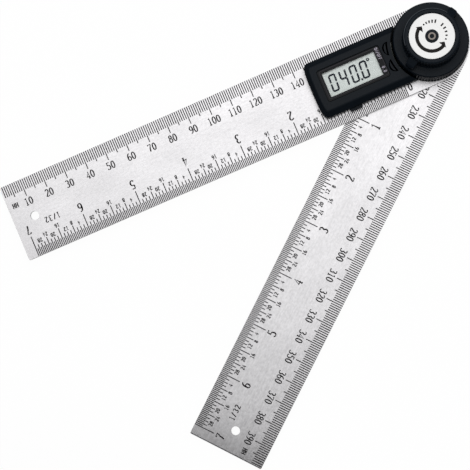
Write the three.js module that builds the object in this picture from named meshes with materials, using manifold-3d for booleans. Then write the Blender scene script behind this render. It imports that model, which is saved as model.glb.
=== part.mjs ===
// Digital angle finder: two steel rules joined at a pivot, with a display case on the upper
// rule and a clamping knob on the pivot. All lengths are millimetres, +Z is up.
// The origin is on the pivot axis, in the plane of the back cap's face.
// The upper arm runs along -X. The lower arm is turned from it by the angle between the arms.

import * as THREE from 'three';
import { mergeVertices } from 'three/addons/utils/BufferGeometryUtils.js';
import Module from 'manifold-3d';

const wasm = await Module();
wasm.setup();

// Clearances
const fitGap = 0.2; // round a piece that its neighbour holds
const runGap = 0.1; // between faces that slide on each other
const seatGap = 0.05; // under a piece that rests in a pocket
const overrun = 1; // how far a cutter runs past what it cuts

// Rules
const bladeLength = 200; // pivot axis to the free end
const bladeWidth = 35;
const bladeThickness = 1.2;
const bladeCornerRadius = 0.5;
const hangHoleRadius = 2;
const hangHoleInset = 10; // hole centre to the free end
const armAngleDeg = 40.2; // between the arms at rest, as the photo shows them

// Pivot, from the back upwards
const backCapInset = 1; // knob's rim to the cap's rim
const backCapThickness = 2;
const backCapChamfer = 0.6;
const bladeWasherThickness = 0.3;
const bladeWasherOverhang = 0.4; // past the back cap
const boltRadius = 3;
const boltHeadRadius = 5.5; // across the corners of the hexagon
const boltThreadTop = 12; // above the upper rule
const studRadius = 2;
const hubWall = 5.6;
const bushWall = 0.8;
const hubScrewInset = 1.5; // from the hub's rim
const hubScrewHeadRadius = 1.8;
const hubScrewShankRadius = 1;
const hubScrewLength = 6;
const hubScrewHeadHeight = 0.9;

// Angle encoder
const boardThickness = 0.8;
const boardRingInset = 0.4; // from the base's wall
const rotorInset = 1; // from the knob's skirt
const rotorThickness = 0.8;
const rotorSeatWall = 3.7;
const retainerWall = 2.3;
const retainerThickness = 0.6;

// Knob
const knobRadius = 17;
const knobHeight = 18.5; // above the upper rule
const knobSkirtStart = 2; // above the upper rule
const knobSkirtWall = 1.6;
const knobRoof = 1.6;
const flangeHeight = 9.4; // above the upper rule
const flangeTaper = 0.6; // skirt's foot to the flange's rim
const knobEdgeChamfer = 0.4;
const knobRibDepth = 0.35;
const knobRibCount = 80;
const flangeWidth = 4.8; // skirt's foot to the boss
const bossChamfer = 0.7;
const bossRibDepth = 0.3;
const bossRibCount = 56;
const wingInset = 1.1; // skirt's foot to the end of a wing
const wingWidth = 4.2;
const wingRootHeight = 15.7; // above the upper rule, at the boss
const wingTipHeight = 13.8; // above the upper rule, at the end
const wingAngleDeg = 28.5; // from the upper arm towards its inner edge
const bossRimWidth = 2.4; // label to the boss's rim
const labelThickness = 0.2;
const labelRecess = 0.5; // label face to the rim of the boss
const labelHoleRadius = 2.9;
const insertWall = 2; // bore to the corners of the hexagon
const insertLength = 6;
const stopLift = 0.55; // how far the knob can rise before the stop washer holds it
const stopWasherGap = 0.25; // round the washer
const stopWasherThickness = 0.4;
const knobScrewHeadRadius = 1.75;
const knobScrewHeadHeight = 0.9;
const knobScrewShankRadius = 1.1;
const knobScrewLength = 2.6;
const socketDepth = 0.45;
const socketRadius = 0.95;
const springGap = 1.4; // bolt to the spring's middle
const springWireRadius = 0.25;
const springTurnCount = 2;
const brakeRingThickness = 0.2;
const brakeRingInset = 0.2;

// Display case
const caseEndRoom = 3.7; // battery bay to the middle of the end wall
const caseSideRoom = 2.65; // cell's pocket to the case's side
const caseHeight = 6.6; // above the upper rule
const caseWallHeight = 4.4; // upright part of the sides
const caseSlopeRun = 2.25; // side wall to the top's edge
const caseTopEndInset = 1.5;
const caseEndBulge = 0.6;
const caseCornerRadius = 2.4;
const caseTopCornerRadius = 1.2;
const caseEdgeRound = 0.3;
const caseKnobGap = 0.45;
const caseWall = 1.2;
const caseArcWall = 0.9;
const caseRoof = 1.4;
const basePlateThickness = 0.6;
const boardStandoff = 0.1;
const screwPostRadius = 1.35;
const caseScrewNearInset = 2.25; // from the hollow end and from the side
const caseScrewFarInset = 1.9; // from the end wall
const caseScrewSideInset = 2.05;
const caseScrewHeadRadius = 1.5;
const caseScrewHeadHeight = 0.7;
const caseScrewShankRadius = 0.75;
const caseScrewLength = 6;

// Display
const windowKeyGap = 1.2; // keys to the window
const windowEndInset = 5; // case end to the window
const windowSideInset = 3.4; // top's edge to the window
const windowThickness = 0.8;
const windowCornerRadius = 0.9;
const windowRecess = 0.25;
const windowCentreY = 0.4;
const viewEndMargin = 2.25; // window's end to the part of the display that shows
const viewSideMargin = 1.6;
const viewShiftX = 0.4; // from the window's middle, away from the pivot
const viewShiftY = 0.15;
const lcdEndMargin = 1.55; // beyond the part that shows
const lcdSideMargin = 1.2;
const lcdThickness = 0.9;
const zebraWidth = 1.4;
const zebraSideInset = 0.8; // from the side of the glass
const zebraInset = 0.4; // from the end of the glass

// Circuit board
const boardReach = 7.7; // past the keys
const boardSideGap = 0.45; // to the case's walls
const boardNeckWidth = 14;
const chipSize = 3.6;
const chipHeight = 1;
const chipInset = 2.6; // chip's middle to the board's edges

// Keys, shaped round the knob
const keyArcGap = 1.15; // hollow end's wall to the keys
const keyWidth = 1;
const keySlotGap = 0.7; // key to the slot's edge
const keyStartDeg = 4.4;
const keyEndDeg = 19.3;
const keyTurnDeg = 1.6; // both keys, towards the upper edge, in line with the window
const keyPointCount = 12;
const keySkewShare = 1.15;
const keyBluntShare = 0.6;
const keyTravel = 0.4;
const keyInset = 0.1; // key face below the case top
const keyLip = 0.95;
const keyLipThickness = 0.6;
const keyStemDeg = 11.8;
const keyStemRadius = 0.6;
const keyStemEntry = 0.5; // stem end below the switch top
const switchSize = 2.6;
const switchHeight = 2.2;

// Battery tray and cell
const cellRadius = 10;
const cellThickness = 3.2;
const cellChamfer = 0.3;
const trayBoardGap = 1;
const trayFloorThickness = 0.3;
const traySideWall = 1.1;
const trayHeight = 3.4;
const trayDoorThickness = 1.2;
const trayCradleEndY = -4; // where the cradle's arms stop
const trayFloorInset = 0.4; // floor's end to the cell's edge
const traySlotWidth = 5;
const traySlotStartY = -1;
const trayTabWidth = 5.7;
const trayTabReach = 1.2;
const trayTabHeight = 2;
const trayTabRound = 0.5;
const contactWidth = 3;
const contactThickness = 0.2;
const contactPadRadius = 1.2;
const contactPadY = 1.5;
const contactGrooveDepth = 0.3;
const contactFingerSpan = 3; // half the bowed spring, along Y
const contactFingerHeight = 1.2;
const contactFootReach = 1.8; // onto the board
const contactBowShares = [1, 0.5, 0, -0.5, -1];

// Round shapes
const roundSides = 48;
const smallSides = 16;
const cornerSides = 5;
const wireSides = 5;
const hexSides = 6;

// Levels, worked out from the sizes above
const lowerBladeZ = backCapThickness;
const washerZ = lowerBladeZ + bladeThickness;
const upperBladeZ = washerZ + bladeWasherThickness + runGap;
const deckZ = upperBladeZ + bladeThickness;
const basePlateTopZ = deckZ + basePlateThickness;
const boardZ = basePlateTopZ + boardStandoff;
const boardTopZ = boardZ + boardThickness;
const rotorZ = boardTopZ + fitGap;
const retainerZ = rotorZ + rotorThickness + seatGap;
const hubTopZ = retainerZ + retainerThickness + seatGap;
const skirtZ = deckZ + knobSkirtStart;
const caseTopZ = deckZ + caseHeight;
const knobCavityZ = caseTopZ - knobRoof;
const flangeTopZ = deckZ + flangeHeight;
const knobTopZ = deckZ + knobHeight;
const labelTopZ = knobTopZ - labelRecess;
const labelZ = labelTopZ - labelThickness;
const stopWasherZ = labelZ - stopWasherThickness - stopLift + seatGap;
const studTopZ = stopWasherZ - seatGap;
const stopFloorZ = studTopZ - stopLift;
const insertZ = knobCavityZ;
const insertTopZ = insertZ + insertLength;
const roofUnderZ = caseTopZ - caseRoof;
const windowTopZ = caseTopZ - windowRecess;
const windowZ = windowTopZ - windowThickness;
const lcdTopZ = roofUnderZ - seatGap;
const lcdZ = lcdTopZ - lcdThickness;
const trayZ = basePlateTopZ + seatGap;
const cellZ = trayZ + trayFloorThickness;
const trayTopZ = trayZ + trayHeight;

// Radii and places, worked out from the sizes above
const hubBore = boltRadius + fitGap;
const hubRadius = hubBore + hubWall;
const hubScrewCircle = hubRadius - hubScrewInset;
const backCapRadius = knobRadius - backCapInset;
const bushInnerRadius = hubRadius + fitGap;
const bushOuterRadius = bushInnerRadius + bushWall;
const pivotHoleRadius = bushOuterRadius + fitGap;
const bladeWasherInnerRadius = pivotHoleRadius + fitGap;
const bladeWasherOuterRadius = backCapRadius + bladeWasherOverhang;
const rotorSeatRadius = hubBore + rotorSeatWall;
const rotorBore = rotorSeatRadius + fitGap;
const retainerRadius = rotorBore + retainerWall;
const skirtInnerRadius = knobRadius - knobSkirtWall;
const rotorRadius = skirtInnerRadius - rotorInset;
const bossRadius = knobRadius - flangeWidth;
const wingReach = knobRadius - wingInset;
const flangeHollowRadius = skirtInnerRadius - flangeTaper;
const labelRadius = bossRadius - bossRimWidth;
const insertRadius = boltRadius + fitGap + insertWall;
const stopWasherRadius = labelHoleRadius - stopWasherGap;
const springRadius = hubBore + springGap;
const caseArcRadius = knobRadius + caseKnobGap;
const baseRingOuterRadius = knobRadius - runGap;
const baseRingInnerRadius = skirtInnerRadius + runGap;
const boardRingRadius = baseRingInnerRadius - boardRingInset;
const keyInnerRadius = caseArcRadius + caseArcWall + keyArcGap;
const keyOuterRadius = keyInnerRadius + keyWidth;
const keyStemCircle = keyInnerRadius + keyWidth / 2;
const boardEndX = keyOuterRadius + boardReach;
const contactFootX = boardEndX - contactFootReach;
const chipX = boardEndX - chipInset;
const trayHalfWidth = cellRadius + fitGap + traySideWall;
const trayBayHalfWidth = trayHalfWidth + fitGap;
const trayBayTopZ = trayTopZ + fitGap;
const trayFloorEndY = cellRadius - trayFloorInset;
const cellCentreX = boardEndX + trayBoardGap + trayHalfWidth;
const caseLength = cellCentreX + trayBayHalfWidth + caseEndRoom;
const caseWidth = 2 * (cellRadius + fitGap + caseSideRoom);
const caseTopWidth = caseWidth - 2 * caseSlopeRun;
const windowStartX = keyOuterRadius + windowKeyGap;
const windowEndX = caseLength - windowEndInset;
const windowLength = windowEndX - windowStartX;
const windowWidth = caseTopWidth - 2 * windowSideInset;
const windowCentreX = (windowStartX + windowEndX) / 2;
const viewLength = windowLength - 2 * viewEndMargin;
const viewWidth = windowWidth - 2 * viewSideMargin;
const viewCentreX = windowCentreX + viewShiftX;
const viewCentreY = windowCentreY - viewShiftY;
const lcdLength = viewLength + 2 * lcdEndMargin;
const lcdWidth = viewWidth + 2 * lcdSideMargin;
const zebraX = viewCentreX - lcdLength / 2 + zebraInset + zebraWidth / 2;
const zebraLength = lcdWidth - 2 * zebraSideInset;
const boardWidth = caseWidth - 2 * (caseWall + boardSideGap);
const boardNeckHalf = boardNeckWidth / 2;
const chipY = boardWidth / 2 - chipInset;
const caseScrewNearX = caseArcRadius + caseScrewNearInset;
const caseScrewNearY = caseWidth / 2 - caseScrewNearInset;
const caseScrewFarX = caseLength - caseScrewFarInset;
const caseScrewFarY = caseWidth / 2 - caseScrewSideInset;
const caseScrewPlaces = [
  [-caseScrewNearX, caseScrewNearY],
  [-caseScrewNearX, -caseScrewNearY],
  [-caseScrewFarX, caseScrewFarY],
  [-caseScrewFarX, -caseScrewFarY],
];
const armAngle = THREE.MathUtils.degToRad(armAngleDeg);
const wingAngle = THREE.MathUtils.degToRad(wingAngleDeg);

const materials = {
  steel: { color: 0xd9d7da, roughness: 0.38, metalness: 0.9 },
  zinc: { color: 0xb9bcc0, roughness: 0.4, metalness: 0.9 },
  brass: { color: 0xc9a45c, roughness: 0.4, metalness: 0.9 },
  black: { color: 0x1d2024, roughness: 0.5, metalness: 0 },
  darkKey: { color: 0x23262b, roughness: 0.6, metalness: 0 },
  nylon: { color: 0xe8e6dc, roughness: 0.5, metalness: 0 },
  rubber: { color: 0x2a2a2a, roughness: 0.9, metalness: 0 },
  board: { color: 0x1f5b34, roughness: 0.6, metalness: 0 },
  chip: { color: 0x0f0f10, roughness: 0.4, metalness: 0 },
  clear: { color: 0xdfe6e8, roughness: 0.05, metalness: 0 },
  lcd: { color: 0xcdd4c8, roughness: 0.3, metalness: 0 },
  label: { color: 0xe4e4e2, roughness: 0.45, metalness: 0.2 },
};

// Solid shapes

function toSolid(geometry) {
  const bare = geometry.clone();
  bare.deleteAttribute('normal');
  bare.deleteAttribute('uv');
  const merged = mergeVertices(bare);
  return new wasm.Manifold(new wasm.Mesh({
    numProp: 3,
    vertProperties: new Float32Array(merged.attributes.position.array),
    triVerts: new Uint32Array(merged.index.array),
  }));
}

function toGeometry(solid) {
  const { vertProperties, triVerts } = solid.getMesh();
  const geometry = new THREE.BufferGeometry();
  geometry.setAttribute('position', new THREE.BufferAttribute(new Float32Array(vertProperties), 3));
  geometry.setIndex(new THREE.BufferAttribute(new Uint32Array(triVerts), 1));
  geometry.computeVertexNormals();
  return geometry;
}

const joined = (...solids) => solids.reduce((sum, solid) => sum.add(solid));
const cut = (solid, ...tools) => tools.reduce((left, tool) => left.subtract(tool), solid);

function cylinder(radius, bottom, top, x = 0, y = 0, sides = smallSides) {
  const geometry = new THREE.CylinderGeometry(radius, radius, top - bottom, sides);
  geometry.rotateX(Math.PI / 2);
  geometry.translate(x, y, (bottom + top) / 2);
  return toSolid(geometry);
}

// A box from its two x, y and z limits
function block(x0, x1, y0, y1, z0, z1) {
  const geometry = new THREE.BoxGeometry(x1 - x0, y1 - y0, z1 - z0);
  geometry.translate((x0 + x1) / 2, (y0 + y1) / 2, (z0 + z1) / 2);
  return toSolid(geometry);
}

// A turned solid: the profile is a list of [radius, z], anticlockwise
function turned(profile, sides = roundSides, x = 0, y = 0) {
  const points = profile.map(([radius, z]) => new THREE.Vector2(radius, z));
  const geometry = new THREE.LatheGeometry(points, sides);
  geometry.rotateX(Math.PI / 2);
  geometry.translate(x, y, 0);
  return toSolid(geometry);
}

function ring(inner, outer, bottom, top, sides = roundSides) {
  return turned([[inner, bottom], [outer, bottom], [outer, top], [inner, top], [inner, bottom]], sides);
}

// A solid through sections of equal point count, each a list of points at its own height
function loft(sections) {
  const count = sections[0].points.length;
  const positions = sections.flatMap(({ points, z }) => points.flatMap((p) => [p.x, p.y, z]));
  const indices = [];
  for (let level = 0; level + 1 < sections.length; level += 1) {
    for (let i = 0; i < count; i += 1) {
      const a = level * count + i;
      const b = level * count + ((i + 1) % count);
      indices.push(a, b, b + count, a, b + count, a + count);
    }
  }
  const last = (sections.length - 1) * count;
  for (const [a, b, c] of THREE.ShapeUtils.triangulateShape(sections[0].points, [])) {
    indices.push(c, b, a);
  }
  for (const [a, b, c] of THREE.ShapeUtils.triangulateShape(sections.at(-1).points, [])) {
    indices.push(last + a, last + b, last + c);
  }
  const geometry = new THREE.BufferGeometry();
  geometry.setAttribute('position', new THREE.Float32BufferAttribute(positions, 3));
  geometry.setIndex(indices);
  return toSolid(geometry);
}

const prism = (points, bottom, top) => loft([{ points, z: bottom }, { points, z: top }]);

function arcPoints(x, y, radius, fromAngle, toAngle, steps) {
  return Array.from({ length: steps + 1 }, (_, i) => {
    const angle = fromAngle + ((toAngle - fromAngle) * i) / steps;
    return new THREE.Vector2(x + radius * Math.cos(angle), y + radius * Math.sin(angle));
  });
}

// A rectangle with round corners, centred on x, y
function roundedRectangle(x, y, length, width, radius) {
  const quarter = Math.PI / 2;
  const dx = length / 2 - radius;
  const dy = width / 2 - radius;
  return [[1, 1, 0], [-1, 1, 1], [-1, -1, 2], [1, -1, 3]].flatMap(([sx, sy, turn]) => arcPoints(
    x + sx * dx, y + sy * dy, radius, turn * quarter, (turn + 1) * quarter, cornerSides,
  ));
}

function ribbedCircle(radius, depth, ribs) {
  return Array.from({ length: ribs * 2 }, (_, i) => {
    const angle = (Math.PI * i) / ribs;
    const r = i % 2 ? radius - depth : radius;
    return new THREE.Vector2(r * Math.cos(angle), r * Math.sin(angle));
  });
}

// A countersunk screw driven upwards, its head's face at z
function countersunkScrew(x, y, z, headRadius, headHeight, shankRadius, length) {
  const body = turned([
    [0, z], [headRadius, z], [shankRadius, z + headHeight],
    [shankRadius, z + length], [0, z + length],
  ], smallSides, x, y);
  return cut(body, cylinder(shankRadius, z - overrun, z + headHeight / 2, x, y, hexSides));
}

function countersunkHole(x, y, z, headRadius, headHeight, shankRadius, top) {
  return turned([
    [0, z - overrun], [headRadius + fitGap, z - overrun], [headRadius + fitGap, z],
    [shankRadius + fitGap, z + headHeight], [shankRadius + fitGap, top + overrun],
    [0, top + overrun],
  ], smallSides, x, y);
}

// Rules

function bladeOutline() {
  const half = bladeWidth / 2;
  const endX = -bladeLength + bladeCornerRadius;
  const cornerY = half - bladeCornerRadius;
  const quarter = Math.PI / 2;
  return [
    ...arcPoints(0, 0, half, -quarter, quarter, roundSides / 2),
    ...arcPoints(endX, cornerY, bladeCornerRadius, quarter, 2 * quarter, cornerSides),
    ...arcPoints(endX, -cornerY, bladeCornerRadius, 2 * quarter, 3 * quarter, cornerSides),
  ];
}

function hangHole(bottom, top) {
  const x = -bladeLength + hangHoleInset;
  return cylinder(hangHoleRadius, bottom - overrun, top + overrun, x, 0, smallSides);
}

function upperBlade() {
  const screwHoles = caseScrewPlaces.map(([x, y]) => countersunkHole(
    x, y, upperBladeZ, caseScrewHeadRadius, caseScrewHeadHeight, caseScrewShankRadius, deckZ,
  ));
  return cut(
    prism(bladeOutline(), upperBladeZ, deckZ),
    hangHole(upperBladeZ, deckZ),
    cylinder(pivotHoleRadius, upperBladeZ - overrun, deckZ + overrun, 0, 0, roundSides),
    ...screwHoles,
  );
}

function hubScrewPlaces() {
  return [0, 1, 2].map((i) => {
    const angle = Math.PI / 2 + (i * 2 * Math.PI) / 3;
    return [hubScrewCircle * Math.cos(angle), hubScrewCircle * Math.sin(angle)];
  });
}

function lowerBlade() {
  const screwHoles = hubScrewPlaces().map(([x, y]) => cylinder(
    hubScrewShankRadius + fitGap, lowerBladeZ - overrun, washerZ + overrun, x, y,
  ));
  return cut(
    prism(bladeOutline(), lowerBladeZ, washerZ),
    hangHole(lowerBladeZ, washerZ),
    cylinder(hubBore, lowerBladeZ - overrun, washerZ + overrun),
    ...screwHoles,
  );
}

// Pivot

function backCap() {
  const plate = turned([
    [0, 0], [backCapRadius - backCapChamfer, 0], [backCapRadius, backCapChamfer],
    [backCapRadius, backCapThickness], [0, backCapThickness],
  ]);
  const screwHoles = hubScrewPlaces().map(([x, y]) => countersunkHole(
    x, y, seatGap, hubScrewHeadRadius, hubScrewHeadHeight, hubScrewShankRadius, backCapThickness,
  ));
  const headHole = cylinder(boltHeadRadius + fitGap, -overrun, backCapThickness + overrun, 0, 0, hexSides);
  return cut(plate, headHole, ...screwHoles);
}

const hubScrew = ([x, y]) => countersunkScrew(
  x, y, seatGap, hubScrewHeadRadius, hubScrewHeadHeight, hubScrewShankRadius, hubScrewLength,
);

function rotorHub() {
  const body = turned([
    [hubBore, washerZ], [hubRadius, washerZ], [hubRadius, rotorZ], [rotorSeatRadius, rotorZ],
    [rotorSeatRadius, hubTopZ], [hubBore, hubTopZ], [hubBore, washerZ],
  ]);
  const screwHoles = hubScrewPlaces().map(([x, y]) => cylinder(
    hubScrewShankRadius + fitGap, washerZ - overrun, hubScrewLength + fitGap, x, y,
  ));
  return cut(body, ...screwHoles);
}

function pivotBolt() {
  const threadTopZ = deckZ + boltThreadTop;
  const head = cylinder(boltHeadRadius, 0, backCapThickness, 0, 0, hexSides);
  const shank = turned([
    [0, backCapThickness / 2], [boltRadius, backCapThickness / 2], [boltRadius, threadTopZ],
    [studRadius, threadTopZ], [studRadius, studTopZ], [0, studTopZ],
  ], smallSides);
  const tapped = cylinder(
    knobScrewShankRadius + fitGap, studTopZ - knobScrewLength - fitGap, studTopZ + overrun,
  );
  return cut(joined(head, shank), tapped);
}

const bladeWasher = () => ring(
  bladeWasherInnerRadius, bladeWasherOuterRadius, washerZ, washerZ + bladeWasherThickness,
);
const bearingBush = () => ring(bushInnerRadius, bushOuterRadius, upperBladeZ, basePlateTopZ);
const encoderRotor = () => ring(rotorBore, rotorRadius, rotorZ, rotorZ + rotorThickness);
const rotorRetainer = () => ring(rotorBore, retainerRadius, retainerZ, retainerZ + retainerThickness);

function releaseSpring() {
  const startZ = hubTopZ + springWireRadius + seatGap;
  const rise = insertZ - springWireRadius - seatGap - startZ;
  const turn = 2 * Math.PI;
  class Coil extends THREE.Curve {
    getPoint(t, target = new THREE.Vector3()) {
      const angle = t * springTurnCount * turn;
      return target.set(
        springRadius * Math.cos(angle), springRadius * Math.sin(angle), startZ + rise * t,
      );
    }
  }
  const section = new THREE.Shape(
    arcPoints(0, 0, springWireRadius, 0, turn - turn / wireSides, wireSides - 1),
  );
  const geometry = new THREE.ExtrudeGeometry(section, {
    steps: springTurnCount * smallSides, extrudePath: new Coil(),
  });
  return toSolid(geometry);
}

// Knob

// One wing: a buttress that falls from the boss to the flange, round at its end
function wing(turn) {
  const half = wingWidth / 2;
  const quarter = Math.PI / 2;
  const tipX = wingReach - half;
  const outline = [
    ...arcPoints(tipX, 0, half, -quarter, quarter, cornerSides * 2),
    new THREE.Vector2(labelRadius, half), new THREE.Vector2(labelRadius, -half),
  ];
  const bottomZ = flangeTopZ - knobRoof / 2;
  const rootZ = deckZ + wingRootHeight;
  const tipZ = deckZ + wingTipHeight;
  const slope = (rootZ - tipZ) / (wingReach - bossRadius);
  const wedge = new THREE.Shape([
    new THREE.Vector2(wingReach + overrun, tipZ - slope * overrun),
    new THREE.Vector2(wingReach + overrun, knobTopZ + overrun),
    new THREE.Vector2(bossRadius - overrun, knobTopZ + overrun),
    new THREE.Vector2(bossRadius - overrun, rootZ + slope * overrun),
  ]);
  const tool = new THREE.ExtrudeGeometry(wedge, { depth: wingWidth + 2 * overrun, bevelEnabled: false });
  tool.rotateX(quarter);
  tool.translate(0, half + overrun, 0);
  const shape = toGeometry(cut(prism(outline, bottomZ, rootZ), toSolid(tool)));
  shape.deleteAttribute('normal');
  shape.rotateZ(turn);
  return toSolid(shape);
}

function knobBody() {
  const rim = (inset, depth) => ribbedCircle(knobRadius - inset, depth, knobRibCount);
  const skirt = loft([
    { points: rim(0, knobRibDepth), z: skirtZ },
    { points: rim(flangeTaper, knobRibDepth), z: flangeTopZ - knobEdgeChamfer },
    { points: rim(flangeTaper + knobEdgeChamfer, 0), z: flangeTopZ },
  ]);
  const bossRim = (inset, depth) => ribbedCircle(bossRadius - inset, depth, bossRibCount);
  const boss = loft([
    { points: bossRim(0, bossRibDepth), z: knobCavityZ + knobRoof / 2 },
    { points: bossRim(0, bossRibDepth), z: knobTopZ - bossChamfer },
    { points: bossRim(bossChamfer, 0), z: knobTopZ },
  ]);
  const solid = joined(skirt, boss, wing(Math.PI + wingAngle), wing(wingAngle));
  const boltHoleTop = deckZ + boltThreadTop + stopLift + fitGap;
  return cut(
    solid,
    cylinder(skirtInnerRadius, skirtZ - overrun, knobCavityZ, 0, 0, roundSides),
    ring(bossRadius, flangeHollowRadius, knobCavityZ - overrun, flangeTopZ - knobRoof),
    cylinder(insertRadius + fitGap, knobCavityZ - overrun, insertTopZ + seatGap, 0, 0, hexSides),
    cylinder(boltRadius + fitGap, insertTopZ - overrun, boltHoleTop),
    cylinder(studRadius + fitGap, boltHoleTop - overrun, knobTopZ),
    cylinder(labelHoleRadius, stopFloorZ, knobTopZ + overrun),
    cylinder(labelRadius + fitGap, labelZ, knobTopZ + overrun, 0, 0, roundSides),
  );
}

function knobInsert() {
  return cut(
    cylinder(insertRadius, insertZ, insertTopZ, 0, 0, hexSides),
    cylinder(boltRadius + fitGap, insertZ - overrun, insertTopZ + overrun),
  );
}

const knobLabel = () => ring(labelHoleRadius, labelRadius, labelZ, labelTopZ);

const stopWasher = () => ring(
  knobScrewShankRadius + fitGap, stopWasherRadius, stopWasherZ, stopWasherZ + stopWasherThickness,
  smallSides,
);

function knobScrew() {
  const seatZ = stopWasherZ + stopWasherThickness + seatGap;
  const tipZ = studTopZ - knobScrewLength;
  const headZ = seatZ + knobScrewHeadHeight;
  const body = turned([
    [0, tipZ], [knobScrewShankRadius, tipZ], [knobScrewShankRadius, seatZ],
    [knobScrewHeadRadius, seatZ], [knobScrewHeadRadius, headZ], [0, headZ],
  ], smallSides);
  return cut(body, cylinder(socketRadius, headZ - socketDepth, headZ + overrun, 0, 0, hexSides));
}

function brakeRing() {
  const top = skirtZ - seatGap;
  return ring(
    baseRingInnerRadius + brakeRingInset, baseRingOuterRadius - brakeRingInset,
    top - brakeRingThickness, top,
  );
}

// Display case

// The plan of the case: hollowed round the knob, a bulged end wall, round far corners
function caseOutline(width, endX, cornerRadius, arcRadius) {
  const half = width / 2;
  const cornerX = -(endX - caseEndBulge) + cornerRadius;
  const cornerY = half - cornerRadius;
  const quarter = Math.PI / 2;
  const bulge = arcPoints(0, 0, 1, quarter, 3 * quarter, cornerSides * 2).slice(1, -1).map((p) => (
    new THREE.Vector2(cornerX - cornerRadius + p.x * caseEndBulge, p.y * cornerY)
  ));
  const opening = Math.asin(half / arcRadius);
  return [
    ...arcPoints(0, 0, arcRadius, Math.PI + opening, Math.PI - opening, roundSides / 3),
    ...arcPoints(cornerX, cornerY, cornerRadius, quarter, 2 * quarter, cornerSides),
    ...bulge,
    ...arcPoints(cornerX, -cornerY, cornerRadius, 2 * quarter, 3 * quarter, cornerSides),
  ];
}

// The leaf-shaped plan of a key, grown by an offset; side is 1 or -1
function keyOutline(side, offset) {
  const inner = keyInnerRadius - offset;
  const spread = THREE.MathUtils.radToDeg(offset / keyInnerRadius);
  const start = keyStartDeg - spread;
  const span = keyEndDeg + spread - start;
  const at = (share, radius) => {
    const fromArm = side * (start + span * share) + keyTurnDeg;
    const angle = Math.PI - THREE.MathUtils.degToRad(fromArm);
    return new THREE.Vector2(radius * Math.cos(angle), radius * Math.sin(angle));
  };
  const shares = Array.from({ length: keyPointCount + 1 }, (_, i) => i / keyPointCount);
  const outer = shares.slice(1, -1).map((share) => {
    const swell = Math.sin(Math.PI * share ** keySkewShare) ** keyBluntShare;
    return at(share, inner + (keyWidth + 2 * offset) * swell);
  });
  const innerSide = shares.map((share) => at(share, inner));
  const loop = [...outer, ...innerSide.reverse()];
  return side > 0 ? loop.reverse() : loop;
}

function caseShell() {
  const topEndX = caseLength - caseTopEndInset;
  const taper = (share) => ({
    width: caseWidth + (caseTopWidth - caseWidth) * share,
    endX: caseLength + (topEndX - caseLength) * share,
    corner: caseCornerRadius + (caseTopCornerRadius - caseCornerRadius) * share,
  });
  const section = ({ width, endX, corner }, z) => ({
    points: caseOutline(width, endX, corner, caseArcRadius), z,
  });
  const wallTopZ = deckZ + caseWallHeight;
  const roundShare = caseEdgeRound / (caseTopZ - wallTopZ);
  return loft([
    section(taper(0), basePlateTopZ),
    section(taper(0), wallTopZ),
    section(taper(roundShare / 2), wallTopZ + caseEdgeRound),
    section(taper(1 - roundShare / 2), caseTopZ - caseEdgeRound),
    section(taper(1 + roundShare / 2), caseTopZ),
  ]);
}

function caseCavity() {
  const plan = caseOutline(
    caseWidth - 2 * caseWall, caseLength - caseWall, caseCornerRadius - caseWall / 2,
    caseArcRadius + caseArcWall,
  );
  const shrunk = caseOutline(
    caseTopWidth - caseWall, caseLength - caseTopEndInset - caseWall,
    caseTopCornerRadius, caseArcRadius + caseArcWall,
  );
  return loft([
    { points: plan, z: basePlateTopZ - overrun },
    { points: plan, z: deckZ + caseWallHeight - fitGap },
    { points: shrunk, z: roofUnderZ },
  ]);
}

function caseCover() {
  const posts = caseScrewPlaces.map(([x, y]) => cylinder(
    screwPostRadius, basePlateTopZ, roofUnderZ + caseRoof / 2, x, y,
  ));
  const postHoles = caseScrewPlaces.map(([x, y]) => cylinder(
    caseScrewShankRadius + fitGap, basePlateTopZ - overrun,
    upperBladeZ + caseScrewLength + fitGap, x, y,
  ));
  const pocket = roundedRectangle(
    -windowCentreX, windowCentreY, windowLength + 2 * fitGap, windowWidth + 2 * fitGap,
    windowCornerRadius + fitGap,
  );
  const shell = cut(caseShell(), caseCavity());
  const body = caseShell().intersect(joined(shell, ...posts));
  return cut(
    body,
    prism(pocket, windowZ, caseTopZ + overrun),
    block(
      -viewCentreX - viewLength / 2, -viewCentreX + viewLength / 2,
      viewCentreY - viewWidth / 2, viewCentreY + viewWidth / 2,
      roofUnderZ - overrun, caseTopZ,
    ),
    prism(keyOutline(1, keySlotGap), roofUnderZ - overrun, caseTopZ + overrun),
    prism(keyOutline(-1, keySlotGap), roofUnderZ - overrun, caseTopZ + overrun),
    block(
      -cellCentreX - trayBayHalfWidth, -cellCentreX + trayBayHalfWidth,
      -caseWidth, -caseWidth / 2 + caseWall + overrun, basePlateTopZ - overrun, trayBayTopZ,
    ),
    block(
      -caseArcRadius - caseWall - caseArcWall, 0,
      -boardNeckHalf - fitGap, boardNeckHalf + fitGap,
      basePlateTopZ - overrun, boardTopZ + fitGap,
    ),
    ...postHoles,
  );
}

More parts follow.
